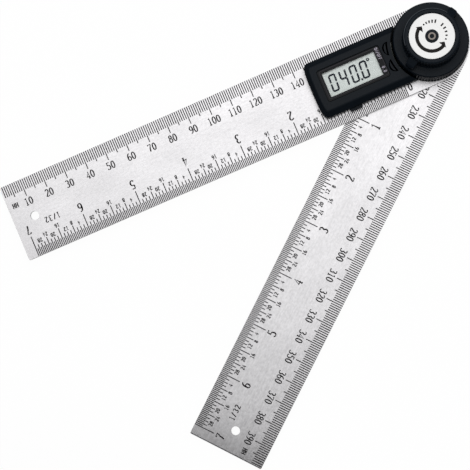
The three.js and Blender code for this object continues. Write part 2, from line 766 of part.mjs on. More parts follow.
function caseBase() {
  const plateArcRadius = skirtInnerRadius;
  const plate = prism(
    caseOutline(caseWidth, caseLength, caseCornerRadius, plateArcRadius), deckZ, basePlateTopZ,
  );
  const wallTopZ = skirtZ - brakeRingThickness - 2 * seatGap;
  const disc = ring(pivotHoleRadius, baseRingOuterRadius, deckZ, basePlateTopZ);
  const wall = cut(
    ring(baseRingInnerRadius, baseRingOuterRadius, basePlateTopZ - basePlateThickness / 2, wallTopZ),
    block(
      -knobRadius - overrun, 0, -boardNeckHalf - fitGap, boardNeckHalf + fitGap,
      basePlateTopZ, wallTopZ + overrun,
    ),
  );
  const grooveZ = basePlateTopZ - contactGrooveDepth;
  const groove = block(
    -cellCentreX - contactPadRadius - fitGap, -contactFootX + contactWidth,
    contactPadY - contactWidth / 2 - fitGap, contactPadY + contactWidth / 2 + fitGap,
    grooveZ, basePlateTopZ + overrun,
  );
  const screwHoles = caseScrewPlaces.map(([x, y]) => cylinder(
    caseScrewShankRadius + fitGap, deckZ - overrun, basePlateTopZ + overrun, x, y,
  ));
  return cut(joined(plate, disc, wall), groove, ...screwHoles);
}

const caseScrew = ([x, y]) => countersunkScrew(
  x, y, upperBladeZ + seatGap, caseScrewHeadRadius, caseScrewHeadHeight,
  caseScrewShankRadius, caseScrewLength,
);

// Display

function displayWindow() {
  const plan = roundedRectangle(
    -windowCentreX, windowCentreY, windowLength, windowWidth, windowCornerRadius,
  );
  return prism(plan, windowZ + seatGap, windowTopZ);
}

const lcdPanel = () => block(
  -viewCentreX - lcdLength / 2, -viewCentreX + lcdLength / 2,
  viewCentreY - lcdWidth / 2, viewCentreY + lcdWidth / 2, lcdZ, lcdTopZ,
);

const zebraStrip = () => block(
  -zebraX - zebraWidth / 2, -zebraX + zebraWidth / 2, -zebraLength / 2, zebraLength / 2,
  boardTopZ + seatGap, lcdZ - seatGap,
);

// Circuit board

function circuitBoard() {
  const nearX = caseArcRadius + caseArcWall + fitGap;
  const main = cut(
    block(-boardEndX, -caseScrewNearX + overrun, -boardWidth / 2, boardWidth / 2, boardZ, boardTopZ),
    cylinder(nearX, boardZ - overrun, boardTopZ + overrun, 0, 0, roundSides),
    ...caseScrewPlaces.map(([x, y]) => cylinder(
      screwPostRadius + fitGap, boardZ - overrun, boardTopZ + overrun, x, y,
    )),
  );
  const neck = block(-caseScrewNearX, 0, -boardNeckHalf, boardNeckHalf, boardZ, boardTopZ);
  const disc = cylinder(boardRingRadius, boardZ, boardTopZ, 0, 0, roundSides);
  const hole = cylinder(bushInnerRadius, boardZ - overrun, boardTopZ + overrun, 0, 0, roundSides);
  return cut(joined(main, neck, disc), hole);
}

const controllerChip = () => block(
  -chipX - chipSize / 2, -chipX + chipSize / 2, chipY - chipSize / 2, chipY + chipSize / 2,
  boardTopZ, boardTopZ + chipHeight,
);

// Keys and their switches

function stemPlace(side) {
  const angle = Math.PI - THREE.MathUtils.degToRad(side * keyStemDeg + keyTurnDeg);
  return [keyStemCircle * Math.cos(angle), keyStemCircle * Math.sin(angle)];
}

function key(side) {
  const [x, y] = stemPlace(side);
  const lipTopZ = roofUnderZ - runGap;
  const lipZ = lipTopZ - keyLipThickness;
  return joined(
    prism(keyOutline(side, 0), lipZ + keyLipThickness / 2, caseTopZ - keyInset),
    prism(keyOutline(side, keyLip), lipZ, lipTopZ),
    cylinder(keyStemRadius, boardTopZ + switchHeight - keyStemEntry, lipTopZ, x, y),
  );
}

function keySwitch(side) {
  const [x, y] = stemPlace(side);
  const half = switchSize / 2;
  const top = boardTopZ + switchHeight;
  const well = cylinder(
    keyStemRadius + fitGap, top - keyStemEntry - keyTravel - fitGap, top + overrun, x, y,
  );
  return cut(block(x - half, x + half, y - half, y + half, boardTopZ, top), well);
}

// Battery tray, cell and contacts

function batteryTray() {
  const x0 = -cellCentreX - trayHalfWidth;
  const x1 = -cellCentreX + trayHalfWidth;
  const faceY = -caseWidth / 2;
  const floor = cut(
    block(x0, x1, faceY, trayFloorEndY, trayZ, cellZ),
    block(
      -cellCentreX - traySlotWidth / 2, -cellCentreX + traySlotWidth / 2,
      traySlotStartY, trayFloorEndY + overrun, trayZ - overrun, cellZ + overrun,
    ),
  );
  const cradle = cut(
    block(x0, x1, faceY, trayCradleEndY, trayZ, trayTopZ),
    cylinder(cellRadius + fitGap, cellZ, trayTopZ + overrun, -cellCentreX, 0, roundSides),
    block(
      -cellCentreX - traySlotWidth / 2, -cellCentreX + traySlotWidth / 2,
      faceY + trayDoorThickness, trayCradleEndY + overrun, cellZ, trayTopZ + overrun,
    ),
  );
  const tab = prism(roundedRectangle(
    -cellCentreX, faceY, trayTabWidth, 2 * trayTabReach, trayTabRound,
  ), trayZ, trayZ + trayTabHeight);
  const outside = block(x0, x1, faceY - 2 * trayTabReach, faceY + trayDoorThickness / 2, 0, trayTopZ);
  return joined(floor, cradle, tab.intersect(outside));
}

function coinCell() {
  return turned([
    [0, cellZ + seatGap], [cellRadius - cellChamfer, cellZ + seatGap],
    [cellRadius, cellZ + seatGap + cellChamfer], [cellRadius, cellZ + cellThickness],
    [0, cellZ + cellThickness],
  ], roundSides, -cellCentreX, 0);
}

// A bowed spring on a foot at the board's end; it touches the edge of the cell
function positiveContact() {
  const bowTopX = -(cellCentreX - cellRadius - fitGap);
  const baseX = -boardEndX - contactThickness;
  const bowPoints = (shift) => contactBowShares.map((share) => new THREE.Vector2(
    baseX + shift + (bowTopX - baseX + contactThickness) * (1 - share * share),
    share * contactFingerSpan,
  ));
  const bow = [...bowPoints(0), ...bowPoints(-contactThickness).reverse()].reverse();
  const footZ = boardTopZ + seatGap;
  const fingerZ = cellZ + cellThickness / 2 - contactFingerHeight / 2;
  const half = contactThickness / 2;
  return joined(
    prism(bow, fingerZ, fingerZ + contactFingerHeight),
    block(
      baseX - contactThickness, baseX + half, contactFingerSpan / 2, contactFingerSpan,
      footZ, fingerZ + contactFingerHeight,
    ),
    block(
      baseX - half, -contactFootX, contactFingerSpan / 2, contactFingerSpan,
      footZ, footZ + contactThickness,
    ),
  );
}

// A strip in the base plate's groove with a pad under the middle of the cell
function negativeContact() {
  const stripZ = basePlateTopZ - contactGrooveDepth + seatGap / 2;
  const stripTopZ = stripZ + contactThickness;
  return joined(
    block(
      -cellCentreX - contactPadRadius, -contactFootX,
      contactPadY - contactWidth / 2, contactPadY + contactWidth / 2, stripZ, stripTopZ,
    ),
    cylinder(contactPadRadius, stripZ, cellZ, -cellCentreX, contactPadY),
  );
}

// Assembly

const angleFinder = new THREE.Group();
const upperArm = new THREE.Group();
const lowerArm = new THREE.Group();
const knob = new THREE.Group();
lowerArm.rotation.z = armAngle;
angleFinder.add(upperArm, lowerArm, knob);

function add(group, name, solid, finish) {
  const mesh = new THREE.Mesh(toGeometry(solid), new THREE.MeshStandardMaterial(materials[finish]));
  mesh.name = name;
  group.add(mesh);
}

add(upperArm, 'upper_blade', upperBlade(), 'steel');
add(upperArm, 'bearing_bush', bearingBush(), 'brass');
add(upperArm, 'case_base', caseBase(), 'black');
add(upperArm, 'case_cover', caseCover(), 'black');
caseScrewPlaces.forEach((place, i) => add(upperArm, `case_screw_${i + 1}`, caseScrew(place), 'zinc'));
add(upperArm, 'display_window', displayWindow(), 'clear');
add(upperArm, 'lcd_panel', lcdPanel(), 'lcd');
add(upperArm, 'zebra_strip', zebraStrip(), 'rubber');
add(upperArm, 'circuit_board', circuitBoard(), 'board');
add(upperArm, 'controller_chip', controllerChip(), 'chip');
add(upperArm, 'power_key', key(1), 'darkKey');
add(upperArm, 'zero_key', key(-1), 'darkKey');
add(upperArm, 'power_switch', keySwitch(1), 'chip');
add(upperArm, 'zero_switch', keySwitch(-1), 'chip');
add(upperArm, 'battery_tray', batteryTray(), 'black');
add(upperArm, 'coin_cell', coinCell(), 'zinc');
add(upperArm, 'battery_contact_positive', positiveContact(), 'brass');
add(upperArm, 'battery_contact_negative', negativeContact(), 'brass');
add(upperArm, 'brake_ring', brakeRing(), 'rubber');

add(lowerArm, 'lower_blade', lowerBlade(), 'steel');
add(lowerArm, 'back_cap', backCap(), 'black');
hubScrewPlaces().forEach((place, i) => add(lowerArm, `hub_screw_${i + 1}`, hubScrew(place), 'zinc'));
add(lowerArm, 'pivot_bolt', pivotBolt(), 'zinc');
add(lowerArm, 'rotor_hub', rotorHub(), 'black');
add(lowerArm, 'blade_washer', bladeWasher(), 'nylon');
add(lowerArm, 'encoder_rotor', encoderRotor(), 'board');
add(lowerArm, 'rotor_retainer', rotorRetainer(), 'brass');
add(lowerArm, 'release_spring', releaseSpring(), 'zinc');
add(lowerArm, 'stop_washer', stopWasher(), 'black');
add(lowerArm, 'knob_screw', knobScrew(), 'zinc');

add(knob, 'knob_body', knobBody(), 'black');
add(knob, 'knob_insert', knobInsert(), 'brass');
add(knob, 'knob_label', knobLabel(), 'label');

export default angleFinder;
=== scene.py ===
"""Finishes the packed two-arm angle finder: rules, display case, knob and the hidden pieces."""
import math

import bmesh
import bpy
from bpy.props import FloatProperty, FloatVectorProperty, IntProperty, PointerProperty
from mathutils import Matrix, Vector


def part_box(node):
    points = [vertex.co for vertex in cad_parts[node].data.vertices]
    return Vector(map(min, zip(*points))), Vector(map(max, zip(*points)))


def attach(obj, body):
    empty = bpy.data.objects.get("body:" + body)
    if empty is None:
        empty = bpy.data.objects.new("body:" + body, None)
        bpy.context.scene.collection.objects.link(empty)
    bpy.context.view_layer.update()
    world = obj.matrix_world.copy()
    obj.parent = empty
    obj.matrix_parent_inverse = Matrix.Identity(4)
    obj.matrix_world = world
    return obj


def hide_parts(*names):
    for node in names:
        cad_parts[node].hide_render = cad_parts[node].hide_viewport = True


bl_info = {
    "name": "Angle finder finish",
    "version": (1, 0, 0),
    "blender": (4, 5, 0),
    "location": "View3D > Sidebar > Angle finder",
    "description": "Models the visible pieces of a digital angle finder around its frame",
    "category": "Object",
}

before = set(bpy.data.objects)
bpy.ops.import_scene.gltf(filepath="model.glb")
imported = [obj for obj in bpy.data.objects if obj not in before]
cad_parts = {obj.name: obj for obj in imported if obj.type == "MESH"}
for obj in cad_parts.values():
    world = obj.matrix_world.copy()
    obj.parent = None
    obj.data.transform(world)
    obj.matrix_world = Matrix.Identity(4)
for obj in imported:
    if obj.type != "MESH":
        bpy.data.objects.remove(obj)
bpy.context.view_layer.update()

MM = 0.001
SWING = math.radians(40.2)


# Settings that a user would change

def a_length(name, description, millimetres):
    return FloatProperty(name=name, description=description, default=millimetres * MM,
                         subtype="DISTANCE", unit="LENGTH")


def a_colour(name, description, *values):
    return FloatVectorProperty(name=name, description=description, default=values,
                               subtype="COLOR", size=3)


def a_count(name, description, number):
    return IntProperty(name=name, description=description, default=number, min=8, max=160)


def a_number(name, description, value, most, **kind):
    return FloatProperty(name=name, description=description, default=value, min=0.0, max=most,
                         **kind)


class RuleSettings(bpy.types.PropertyGroup):
    """Graduations of the two steel rules."""
    edge_round: a_length("Edge round", "Width of the softened edge of each rule", 0.27)
    ink_height: a_length("Ink height", "How far the graduations stand above the steel", 0.02)
    line_width: a_length("Line width", "Width of one graduation line", 0.43)
    numeral_height: a_length("Numeral height", "Height of the millimetre side's numbers", 3.35)
    inch_numeral_height: a_length("Inch numeral height", "Height of the whole-inch numbers", 4.0)
    small_numeral_height: a_length("Small numeral height", "Height of the 1/32 numbers", 1.75)
    steel: a_colour("Steel", "Colour of the brushed steel", 0.368, 0.363, 0.370)
    ink: a_colour("Ink", "Colour of the graduations", 0.012, 0.011, 0.012)


class CaseSettings(bpy.types.PropertyGroup):
    """The display case, its keys and the battery tray."""
    edge_round: a_length("Edge round", "Width of the round along the moulded edges", 0.16)
    shoulder: a_length("Shoulder", "Width of the round between the case's top and slopes", 0.7)
    plastic: a_colour("Case plastic", "Colour of the moulded case", 0.0028, 0.0050, 0.0080)
    key_plastic: a_colour("Key plastic", "Colour of the two keys", 0.0036, 0.0056, 0.0084)
    legend: a_colour("Legend", "Colour of the printed key marks", 0.33, 0.31, 0.36)


class DisplaySettings(bpy.types.PropertyGroup):
    """The liquid crystal display."""
    digit_height: a_length("Digit height", "Height of the large digits", 7.9)
    digit_width: a_length("Digit width", "Width of the large digits", 3.35)
    digit_pitch: a_length("Digit pitch", "Distance from one digit to the next", 4.80)
    segment_width: a_length("Segment width", "Width of one bar of a digit", 0.80)
    slant: a_number("Slant", "How far the digits lean to the right", math.radians(3.6),
                    math.radians(30.0), subtype="ANGLE", unit="ROTATION")
    glass: a_colour("Display glass", "Colour of the reflective display", 0.735, 0.800, 0.772)
    segments: a_colour("Segments", "Colour of the dark segments", 0.006, 0.010, 0.018)


class KnobSettings(bpy.types.PropertyGroup):
    """The clamping knob."""
    flange_ribs: a_count("Flange ribs", "Grip ribs round the flange", 80)
    boss_ribs: a_count("Boss ribs", "Grip ribs round the boss", 56)
    rib_depth: a_length("Rib depth", "Depth of the grooves between the ribs", 0.50)
    wing_width: a_length("Wing width", "Width of each wing", 4.2)
    plastic: a_colour("Knob plastic", "Colour of the moulded knob", 0.0030, 0.0055, 0.0090)
    # A painted highlight along the boss's top rim, on the side towards the lamp.
    edge: a_colour("Painted rim highlight", "Colour of the boss's rim in the light", 0.036, 0.042, 0.050)
    label: a_colour("Label", "Colour of the round label", 0.90, 0.90, 0.89)
    arrow: a_colour("Arrow", "Colour of the printed arrow", 0.004, 0.003, 0.0026)


class StageSettings(bpy.types.PropertyGroup):
    """Floor, light and camera."""
    lens: a_number("Focal length", "Focal length of the camera", 120.16, 300.0,
                   subtype="DISTANCE_CAMERA", unit="CAMERA")
    lamp_power: a_number("Lamp power", "Power of the large softbox", 5.8, 100.0, unit="POWER")
    sky: a_number("Sky strength", "Strength of the even light from all round", 0.52, 2.0)
    bounce: a_number("Floor bounce", "Share of the floor's colour that lights the part", 0.25, 1.0)
    floor: a_colour("Floor", "Colour of the pale floor", 0.94, 0.94, 0.94)


SETTINGS = {
    "angle_rules": RuleSettings,
    "angle_case": CaseSettings,
    "angle_display": DisplaySettings,
    "angle_knob": KnobSettings,
    "angle_stage": StageSettings,
}


# Hand tools

def deselect():
    bpy.ops.object.select_all(action="DESELECT")


def pick(piece):
    deselect()
    piece.select_set(True)
    bpy.context.view_layer.objects.active = piece


def named(name):
    """Give the primitive just added its name."""
    piece = bpy.context.active_object
    piece.name = name
    piece.data.name = name
    return piece


def open_edit(piece, mode="FACE"):
    pick(piece)
    bpy.ops.object.mode_set(mode="EDIT")
    bpy.ops.mesh.select_mode(type=mode)
    bpy.ops.mesh.select_all(action="DESELECT")


def close_edit():
    bpy.ops.object.mode_set(mode="OBJECT")


def choose(piece, kind, test):
    """Select the faces, edges or verts of the piece in edit mode that pass the test."""
    bpy.ops.mesh.select_mode(type=kind[:-1].upper())
    bpy.ops.mesh.select_all(action="DESELECT")
    shape = bmesh.from_edit_mesh(piece.data)
    shape.normal_update()
    for item in getattr(shape, kind):
        if kind == "faces":
            wanted = test(item.calc_center_median(), item.normal)
        elif kind == "edges":
            wanted = test(item.verts[0].co, item.verts[1].co)
        else:
            wanted = test(item.co)
        if wanted:
            item.select_set(True)
    bmesh.update_edit_mesh(piece.data)


def use_modifier(piece, kind, **settings):
    pick(piece)
    modifier = piece.modifiers.new(kind.lower(), kind)
    for key, value in settings.items():
        setattr(modifier, key, value)
    bpy.ops.object.modifier_apply(modifier=modifier.name)


def bevel_edges(piece, test, width, steps):
    """Bevel the edges that pass the test."""
    open_edit(piece)
    choose(piece, "edges", test)
    bpy.ops.mesh.bevel(offset=width, segments=steps, affect="EDGES")
    close_edit()


def upright(a, b):
    """Tell the edges of a box that stand up."""
    return abs(a.z - b.z) > 0.005 * MM


def take_whole():
    bpy.ops.mesh.select_all(action="SELECT")


def face_out():
    """Turn every face of the piece in edit mode outwards."""
    take_whole()
    bpy.ops.mesh.normals_make_consistent(inside=False)


def pull_up(rise):
    bpy.ops.mesh.extrude_region_move(TRANSFORM_OT_translate={"value": (0.0, 0.0, rise)})


def cut_out(piece, hollow):
    """Cut the hollow's shape out of the piece."""
    use_modifier(piece, "BOOLEAN", object=hollow, operation="DIFFERENCE", solver="EXACT")
    discard(hollow)


def soften(piece, width, steps=2, angle=30.0):
    """Round the piece's sharp edges, keep its flat faces flat."""
    use_modifier(piece, "BEVEL", width=width, segments=steps, limit_method="ANGLE",
                 angle_limit=math.radians(angle), use_clamp_overlap=True, miter_outer="MITER_ARC")
    shade(piece)


def shade(piece, angle=40.0):
    pick(piece)
    bpy.ops.object.shade_smooth_by_angle(angle=math.radians(angle))
    use_modifier(piece, "WEIGHTED_NORMAL", keep_sharp=True, weight=60)


def settle(piece):
    """Put the object's place, turn and scale into its mesh."""
    pick(piece)
    bpy.ops.object.transform_apply(location=True, rotation=True, scale=True)


def join(pieces, name):
    deselect()
    for piece in pieces:
        piece.select_set(True)
    bpy.context.view_layer.objects.active = pieces[0]
    bpy.ops.object.join()
    return named(name)


def new_object(name, data):
    piece = bpy.data.objects.new(name, data)
    bpy.context.scene.collection.objects.link(piece)
    return piece


def twin(piece, name):
    """A copy with its own mesh."""
    other = new_object(name, piece.data.copy())
    other.matrix_world = piece.matrix_world.copy()
    return other


def discard(piece):
    mesh = piece.data
    bpy.data.objects.remove(piece)
    if mesh.users == 0:
        bpy.data.meshes.remove(mesh)


def cad_copy(node, name):
    """A clean copy of a CAD node's mesh, its flat faces made whole."""
    piece = new_object(name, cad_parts[node].data.copy())
    open_edit(piece, "VERT")
    take_whole()
    bpy.ops.mesh.remove_doubles(threshold=0.002 * MM)
    bpy.ops.mesh.dissolve_limited(angle_limit=math.radians(0.4))
    close_edit()
    return piece


def finish_piece(piece, body, slot_name, material, *nodes):
    settle(piece)
    piece.data.materials.clear()
    piece.data.materials.append(material)
    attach(piece, body)
    if nodes:
        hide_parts(*nodes)
    return piece


def refine(node, body, slot_name, material, width, steps=2, angle=30.0):
    """Stand a softened copy in for a CAD node."""
    piece = cad_copy(node, "fine_" + node)
    soften(piece, width, steps, angle)
    return finish_piece(piece, body, slot_name, material, node)


def dress(node, material):
    """Give a CAD node that stays its material."""
    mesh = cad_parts[node].data
    for place in range(len(mesh.materials)):
        mesh.materials[place] = material
    if not mesh.materials:
        mesh.materials.append(material)


# Materials

def wire(tree, kind, output, inputs, **settings):
    """Add a node, set or link its inputs and give one of its outputs."""
    node = tree.nodes.new("ShaderNode" + kind)
    for key, value in settings.items():
        setattr(node, key, value)
    for socket, value in inputs.items():
        if isinstance(value, bpy.types.NodeSocket):
            tree.links.new(value, node.inputs[socket])
        else:
            node.inputs[socket].default_value = value
    return node.outputs[output]


def remap(tree, source, low, high, start=0.0, end=1.0):
    """Map start..end to low..high, each of them a number or a socket."""
    return wire(tree, "MapRange", "Result", {
        "Value": source, "From Min": start, "From Max": end, "To Min": low, "To Max": high})


class Shader:
    """A small bench for wiring one material."""

    def __init__(self, name, colour, roughness, metallic=0.0, specular=None):
        self.material = bpy.data.materials.new(name)
        self.material.use_nodes = True
        self.tree = self.material.node_tree
        self.surface = self.tree.nodes["Principled BSDF"]
        self.colour = tuple(colour)
        self.set("Base Color", (*colour, 1.0))
        self.set("Roughness", roughness)
        self.set("Metallic", metallic)
        if specular is not None:
            self.set("Specular IOR Level", specular)

    def set(self, socket, value):
        self.surface.inputs[socket].default_value = value

    def feed(self, socket, output):
        self.tree.links.new(output, self.surface.inputs[socket])

    def place(self):
        return wire(self.tree, "TexCoord", "Object", {})

    def mapped(self, scale=(1.0, 1.0, 1.0)):
        return wire(self.tree, "Mapping", "Vector", {"Vector": self.place(), "Scale": scale})

    def turned(self, turn, scale):
        """Turn first, then stretch, so that a grain follows a turned piece."""
        turned = wire(self.tree, "Mapping", "Vector", {
            "Vector": self.place(), "Rotation": (0.0, 0.0, turn)})
        return wire(self.tree, "Mapping", "Vector", {"Vector": turned, "Scale": scale})

    def noise(self, scale, detail=3.0, roughness=0.6, vector=None):
        if vector is None:
            vector = self.mapped()
        return wire(self.tree, "TexNoise", "Fac", {
            "Vector": vector, "Scale": scale, "Detail": detail, "Roughness": roughness})

    def between(self, source, low, high, start=0.3, end=0.7):
        return remap(self.tree, source, low, high, start, end)

    def sum(self, first, second, operation="ADD"):
        return wire(self.tree, "Math", "Value", {0: first, 1: second}, operation=operation)

    def tint(self, factor, low, high):
        """Blend two colours by a factor into the base colour."""
        self.feed("Base Color", wire(self.tree, "Mix", "Result", {
            "Factor": factor, "A": (*low, 1.0), "B": (*high, 1.0)}, data_type="RGBA"))

    def vary(self, source, below, above, start=0.3, end=0.7):
        """Let the base colour run between two shares of itself."""
        ends = [tuple(min(1.0, c * share) for c in self.colour) for share in (below, above)]
        self.tint(self.between(source, 0.0, 1.0, start, end), *ends)

    def bump(self, height, strength, distance=0.02):
        """Raise the surface by a height of so many millimetres."""
        self.feed("Normal", wire(self.tree, "Bump", "Normal", {
            "Height": height, "Strength": strength, "Distance": distance * MM}))


FINISHES = {}


def finish(name, maker, *values):
    """Make each finish once and keep it."""
    if name not in FINISHES:
        FINISHES[name] = maker(name, *values).material
    return FINISHES[name]


def grained(name, colour, roughness, grain, shades, rough=None, bump=None,
            metallic=0.0, specular=None, wide=None):
    """A finish that follows a fine grain, with its colour on a wider one if given."""
    shader = Shader(name, colour, roughness, metallic, specular)
    fine = shader.noise(*grain)
    shader.vary(shader.noise(*wide) if wide else fine, *shades)
    if rough:
        shader.feed("Roughness", shader.between(fine, *rough))
    if bump:
        shader.bump(fine, *bump)
    return shader


def brushed_steel(name, colour, turn):
    shader = Shader(name, colour, 0.38, 1.0)
    brush = shader.noise(1.0, 3.0, 0.55, shader.turned(turn, (150.0, 5200.0, 400.0)))
    mottle = shader.noise(1.0, 3.0, 0.65, shader.turned(turn, (800.0, 1150.0, 800.0)))
    cloud = shader.noise(1.0, 2.0, 0.5, shader.turned(turn, (30.0, 70.0, 30.0)))
    grain = shader.sum(shader.sum(shader.sum(brush, 0.7, "MULTIPLY"), mottle), 0.59, "MULTIPLY")
    shader.vary(grain, 0.815, 1.185, 0.36, 0.64)
    shader.feed("Roughness", shader.sum(shader.between(grain, 0.30, 0.42),
                                        shader.between(cloud, -0.03, 0.03)))
    shader.bump(grain, 0.18, 0.01)
    shader.set("Anisotropic", 0.35)
    return shader


def ink(name, colour):
    return grained(name, colour, 0.55, (3200.0, 2.0), (1.0, 1.8), specular=0.12)


def moulded(name, colour, roughness=0.40, grain=2600.0):
    """Moulded plastic with a fine spark-eroded grain."""
    shader = Shader(name, colour, roughness, specular=0.075)
    fine = shader.noise(grain, 3.0, 0.65)
    wide = shader.noise(90.0, 2.0, 0.5)
    shader.vary(wide, 0.86, 1.14)
    shader.feed("Roughness", shader.sum(shader.between(fine, roughness - 0.06, roughness + 0.08),
                                        shader.between(wide, -0.025, 0.025)))
    shader.bump(fine, 0.12)
    return shader


def lipped(name, colour, height):
    """Moulded plastic with painted shade: near black and without specular below a height, as if the
    lips sat in the slots' shadow.
    """
    shader = Shader(name, colour, 0.36)
    level = wire(shader.tree, "SeparateXYZ", "Z", {"Vector": shader.place()})
    out_of_shade = shader.between(level, 0.0, 1.0, height, height + 0.05 * MM)
    # Painted shade: below the height the colour goes near black and the specular goes out, standing
    # in for the slots' shadow.
    shader.tint(out_of_shade, (0.0002, 0.0002, 0.0003), colour)
    shader.feed("Specular IOR Level", shader.sum(out_of_shade, 0.075, "MULTIPLY"))
    fine = shader.noise(3000.0, 3.0, 0.65)
    shader.feed("Roughness", shader.between(fine, 0.30, 0.44))
    shader.bump(fine, 0.12)
    return shader


def plated(name, colour, roughness=0.24):
    return grained(name, colour, roughness, (1500.0, 3.0), (0.90, 1.10),
                   (roughness - 0.05, roughness + 0.10), (0.10, 0.01), 1.0, wide=(160.0, 2.0))


def turned_brass(name, colour):
    shader = Shader(name, colour, 0.28, 1.0)
    fine = shader.noise(1.0, 2.0, vector=shader.mapped((300.0, 300.0, 5200.0)))
    shader.vary(fine, 0.88, 1.12)
    shader.bump(fine, 0.14, 0.01)
    return shader


def label_paint(name, colour):
    return grained(name, colour, 0.34, (2100.0, 3.0, 0.7), (0.93, 1.0), (0.28, 0.42),
                   (0.08, 0.01), specular=0.4)


def clear_plastic(name, colour):
    shader = Shader(name, colour, 0.03, specular=0.3)
    haze = shader.noise(240.0, 2.0)
    shader.feed("Roughness", shader.between(haze, 0.015, 0.05))
    shader.set("Alpha", 0.07)
    return shader


def window_print(name, colour):
    return grained(name, colour, 0.30, (320.0, 2.0), (0.92, 1.08), (0.26, 0.36), specular=0.08)


def display_back(name, colour):
    shader = Shader(name, colour, 0.30)
    speck = shader.noise(3000.0, 3.0, 0.7)
    cloud = shader.noise(70.0, 1.0)
    both = shader.sum(shader.sum(speck, cloud), 0.5, "MULTIPLY")
    shader.vary(both, 0.95, 1.05, 0.4, 0.6)
    shader.feed("Roughness", shader.between(speck, 0.25, 0.4))
    return shader


def soft_rubber(name, colour):
    return grained(name, colour, 0.75, (1400.0, 3.0), (1.0, 1.7), bump=(0.25, 0.02))


def board(name, colour):
    shader = Shader(name, colour, 0.38)
    weave = wire(shader.tree, "TexVoronoi", "Distance", {
        "Vector": shader.mapped((1.0, 1.0, 0.2)), "Scale": 1800.0})
    shader.vary(weave, 0.78, 1.22, 0.2, 0.8)
    shader.bump(weave, 0.10, 0.01)
    return shader


def nylon(name, colour):
    shader = grained(name, colour, 0.5, (900.0, 3.0), (0.94, 1.06), bump=(0.08, 0.02))
    shader.set("Subsurface Weight", 0.1)
    shader.set("Subsurface Scale", 0.3 * MM)
    return shader


def case_finish():
    return finish("case_black", moulded, bpy.context.scene.angle_case.plastic)


def screw_finish():
    return finish("zinc_plate", plated, (0.62, 0.61, 0.59))


# Figures for the rules, drawn as with a broad nib

def arc(x, y, width, height, start, end, steps):
    """Points along an ellipse from one angle to another, in degrees."""
    points = []
    for step in range(steps + 1):
        angle = math.radians(start + (end - start) * step / steps)
        points.append((x + width * math.cos(angle), y + height * math.sin(angle)))
    return points


# Strokes of each figure, in a box 0.5 wide and 1 high
FIGURES = {
    "0": [arc(0.25, 0.5, 0.20, 0.47, 90, 450, 14)],
    "1": [[(0.10, 0.84), (0.26, 0.97), (0.26, 0.03)], [(0.10, 0.02), (0.42, 0.02)]],
    "2": [arc(0.25, 0.74, 0.19, 0.23, 165, -15, 7) + [(0.36, 0.52), (0.06, 0.04)],
          [(0.06, 0.03), (0.44, 0.03), (0.45, 0.16)]],
    "3": [arc(0.23, 0.75, 0.18, 0.22, 150, -80, 7),
          arc(0.23, 0.27, 0.20, 0.25, 85, -150, 8)],
    "4": [[(0.33, 0.02), (0.33, 0.96), (0.03, 0.28), (0.47, 0.28)],
          [(0.22, 0.02), (0.45, 0.02)]],
    "5": [[(0.42, 0.96), (0.10, 0.96), (0.09, 0.56)],
          arc(0.22, 0.31, 0.22, 0.29, 120, -150, 9)],
    "6": [arc(0.33, 0.48, 0.27, 0.48, 80, 190, 6),
          arc(0.25, 0.29, 0.19, 0.27, 150, 510, 10)],
    "7": [[(0.05, 0.83), (0.06, 0.96), (0.44, 0.96), (0.26, 0.45), (0.20, 0.02)]],
    "8": [arc(0.25, 0.75, 0.16, 0.22, -90, 270, 10),
          arc(0.25, 0.28, 0.20, 0.26, -90, 270, 10)],
    "9": [arc(0.17, 0.52, 0.27, 0.48, -100, 10, 6),
          arc(0.25, 0.71, 0.19, 0.27, -30, 330, 10)],
    "m": [[(0.06, 0.98), (0.06, 0.02)], [(0.07, 0.96), (0.24, 0.30), (0.42, 0.96)],
          [(0.43, 0.98), (0.43, 0.02)]],
    "/": [[(0.04, 0.0), (0.40, 1.0)]],
    "O": [arc(0.25, 0.5, 0.21, 0.46, 90, 450, 12)],
    "N": [[(0.06, 0.02), (0.06, 0.98), (0.43, 0.02), (0.43, 0.98)]],
    "F": [[(0.08, 0.02), (0.08, 0.96), (0.42, 0.96)], [(0.08, 0.52), (0.36, 0.52)]],
    ".": [[(0.20, 0.02), (0.20, 0.14)]],
}


GLYPHS = {}


def draw_figure(key, height, thick, thin, rise):
    """One figure as a flat-topped ribbon mesh that stands on z = 0."""
    curve = bpy.data.curves.new("figure", "CURVE")
    curve.dimensions = "3D"
    curve.twist_mode = "Z_UP"
    curve.extrude = 1.0
    for stroke in FIGURES[key]:
        spline = curve.splines.new("POLY")
        spline.points.add(len(stroke) - 1)
        for index, (x, y) in enumerate(stroke):
            before = stroke[max(index - 1, 0)]
            after = stroke[min(index + 1, len(stroke) - 1)]
            run = math.hypot(after[0] - before[0], after[1] - before[1]) or 1.0
            steep = abs(after[1] - before[1]) / run
            point = spline.points[index]
            point.co = ((x - 0.25) * height, y * height, 0.0, 1.0)
            point.radius = 0.5 * (thin + (thick - thin) * steep ** 1.5)
            point.tilt = math.pi / 2
    pick(new_object("figure_" + key, curve))
    bpy.ops.object.convert(target="MESH")
    glyph = bpy.context.active_object
    open_edit(glyph)
    face_out()
    pull_up(rise)
    face_out()
    close_edit()
    return glyph


def write(text, height, pen, rise, matrix, step=0.60):
    """The text in figures centred on the matrix's origin; a pen is (thick, thin) in mm."""
    copies = []
    for index, letter in enumerate(text):
        key = (letter, height, pen)
        if key not in GLYPHS:
            GLYPHS[key] = draw_figure(letter, height, pen[0] * MM, pen[1] * MM, rise)
        copy = twin(GLYPHS[key], "figure_copy")
        across = (index - (len(text) - 1) / 2.0) * height * step
        copy.matrix_world = matrix @ Matrix.Translation((across, 0.0, 0.0))
        copies.append(copy)
    return copies


def drop_glyphs():
    """Remove the figures that the copies were made from."""
    for glyph in GLYPHS.values():
        discard(glyph)
    GLYPHS.clear()


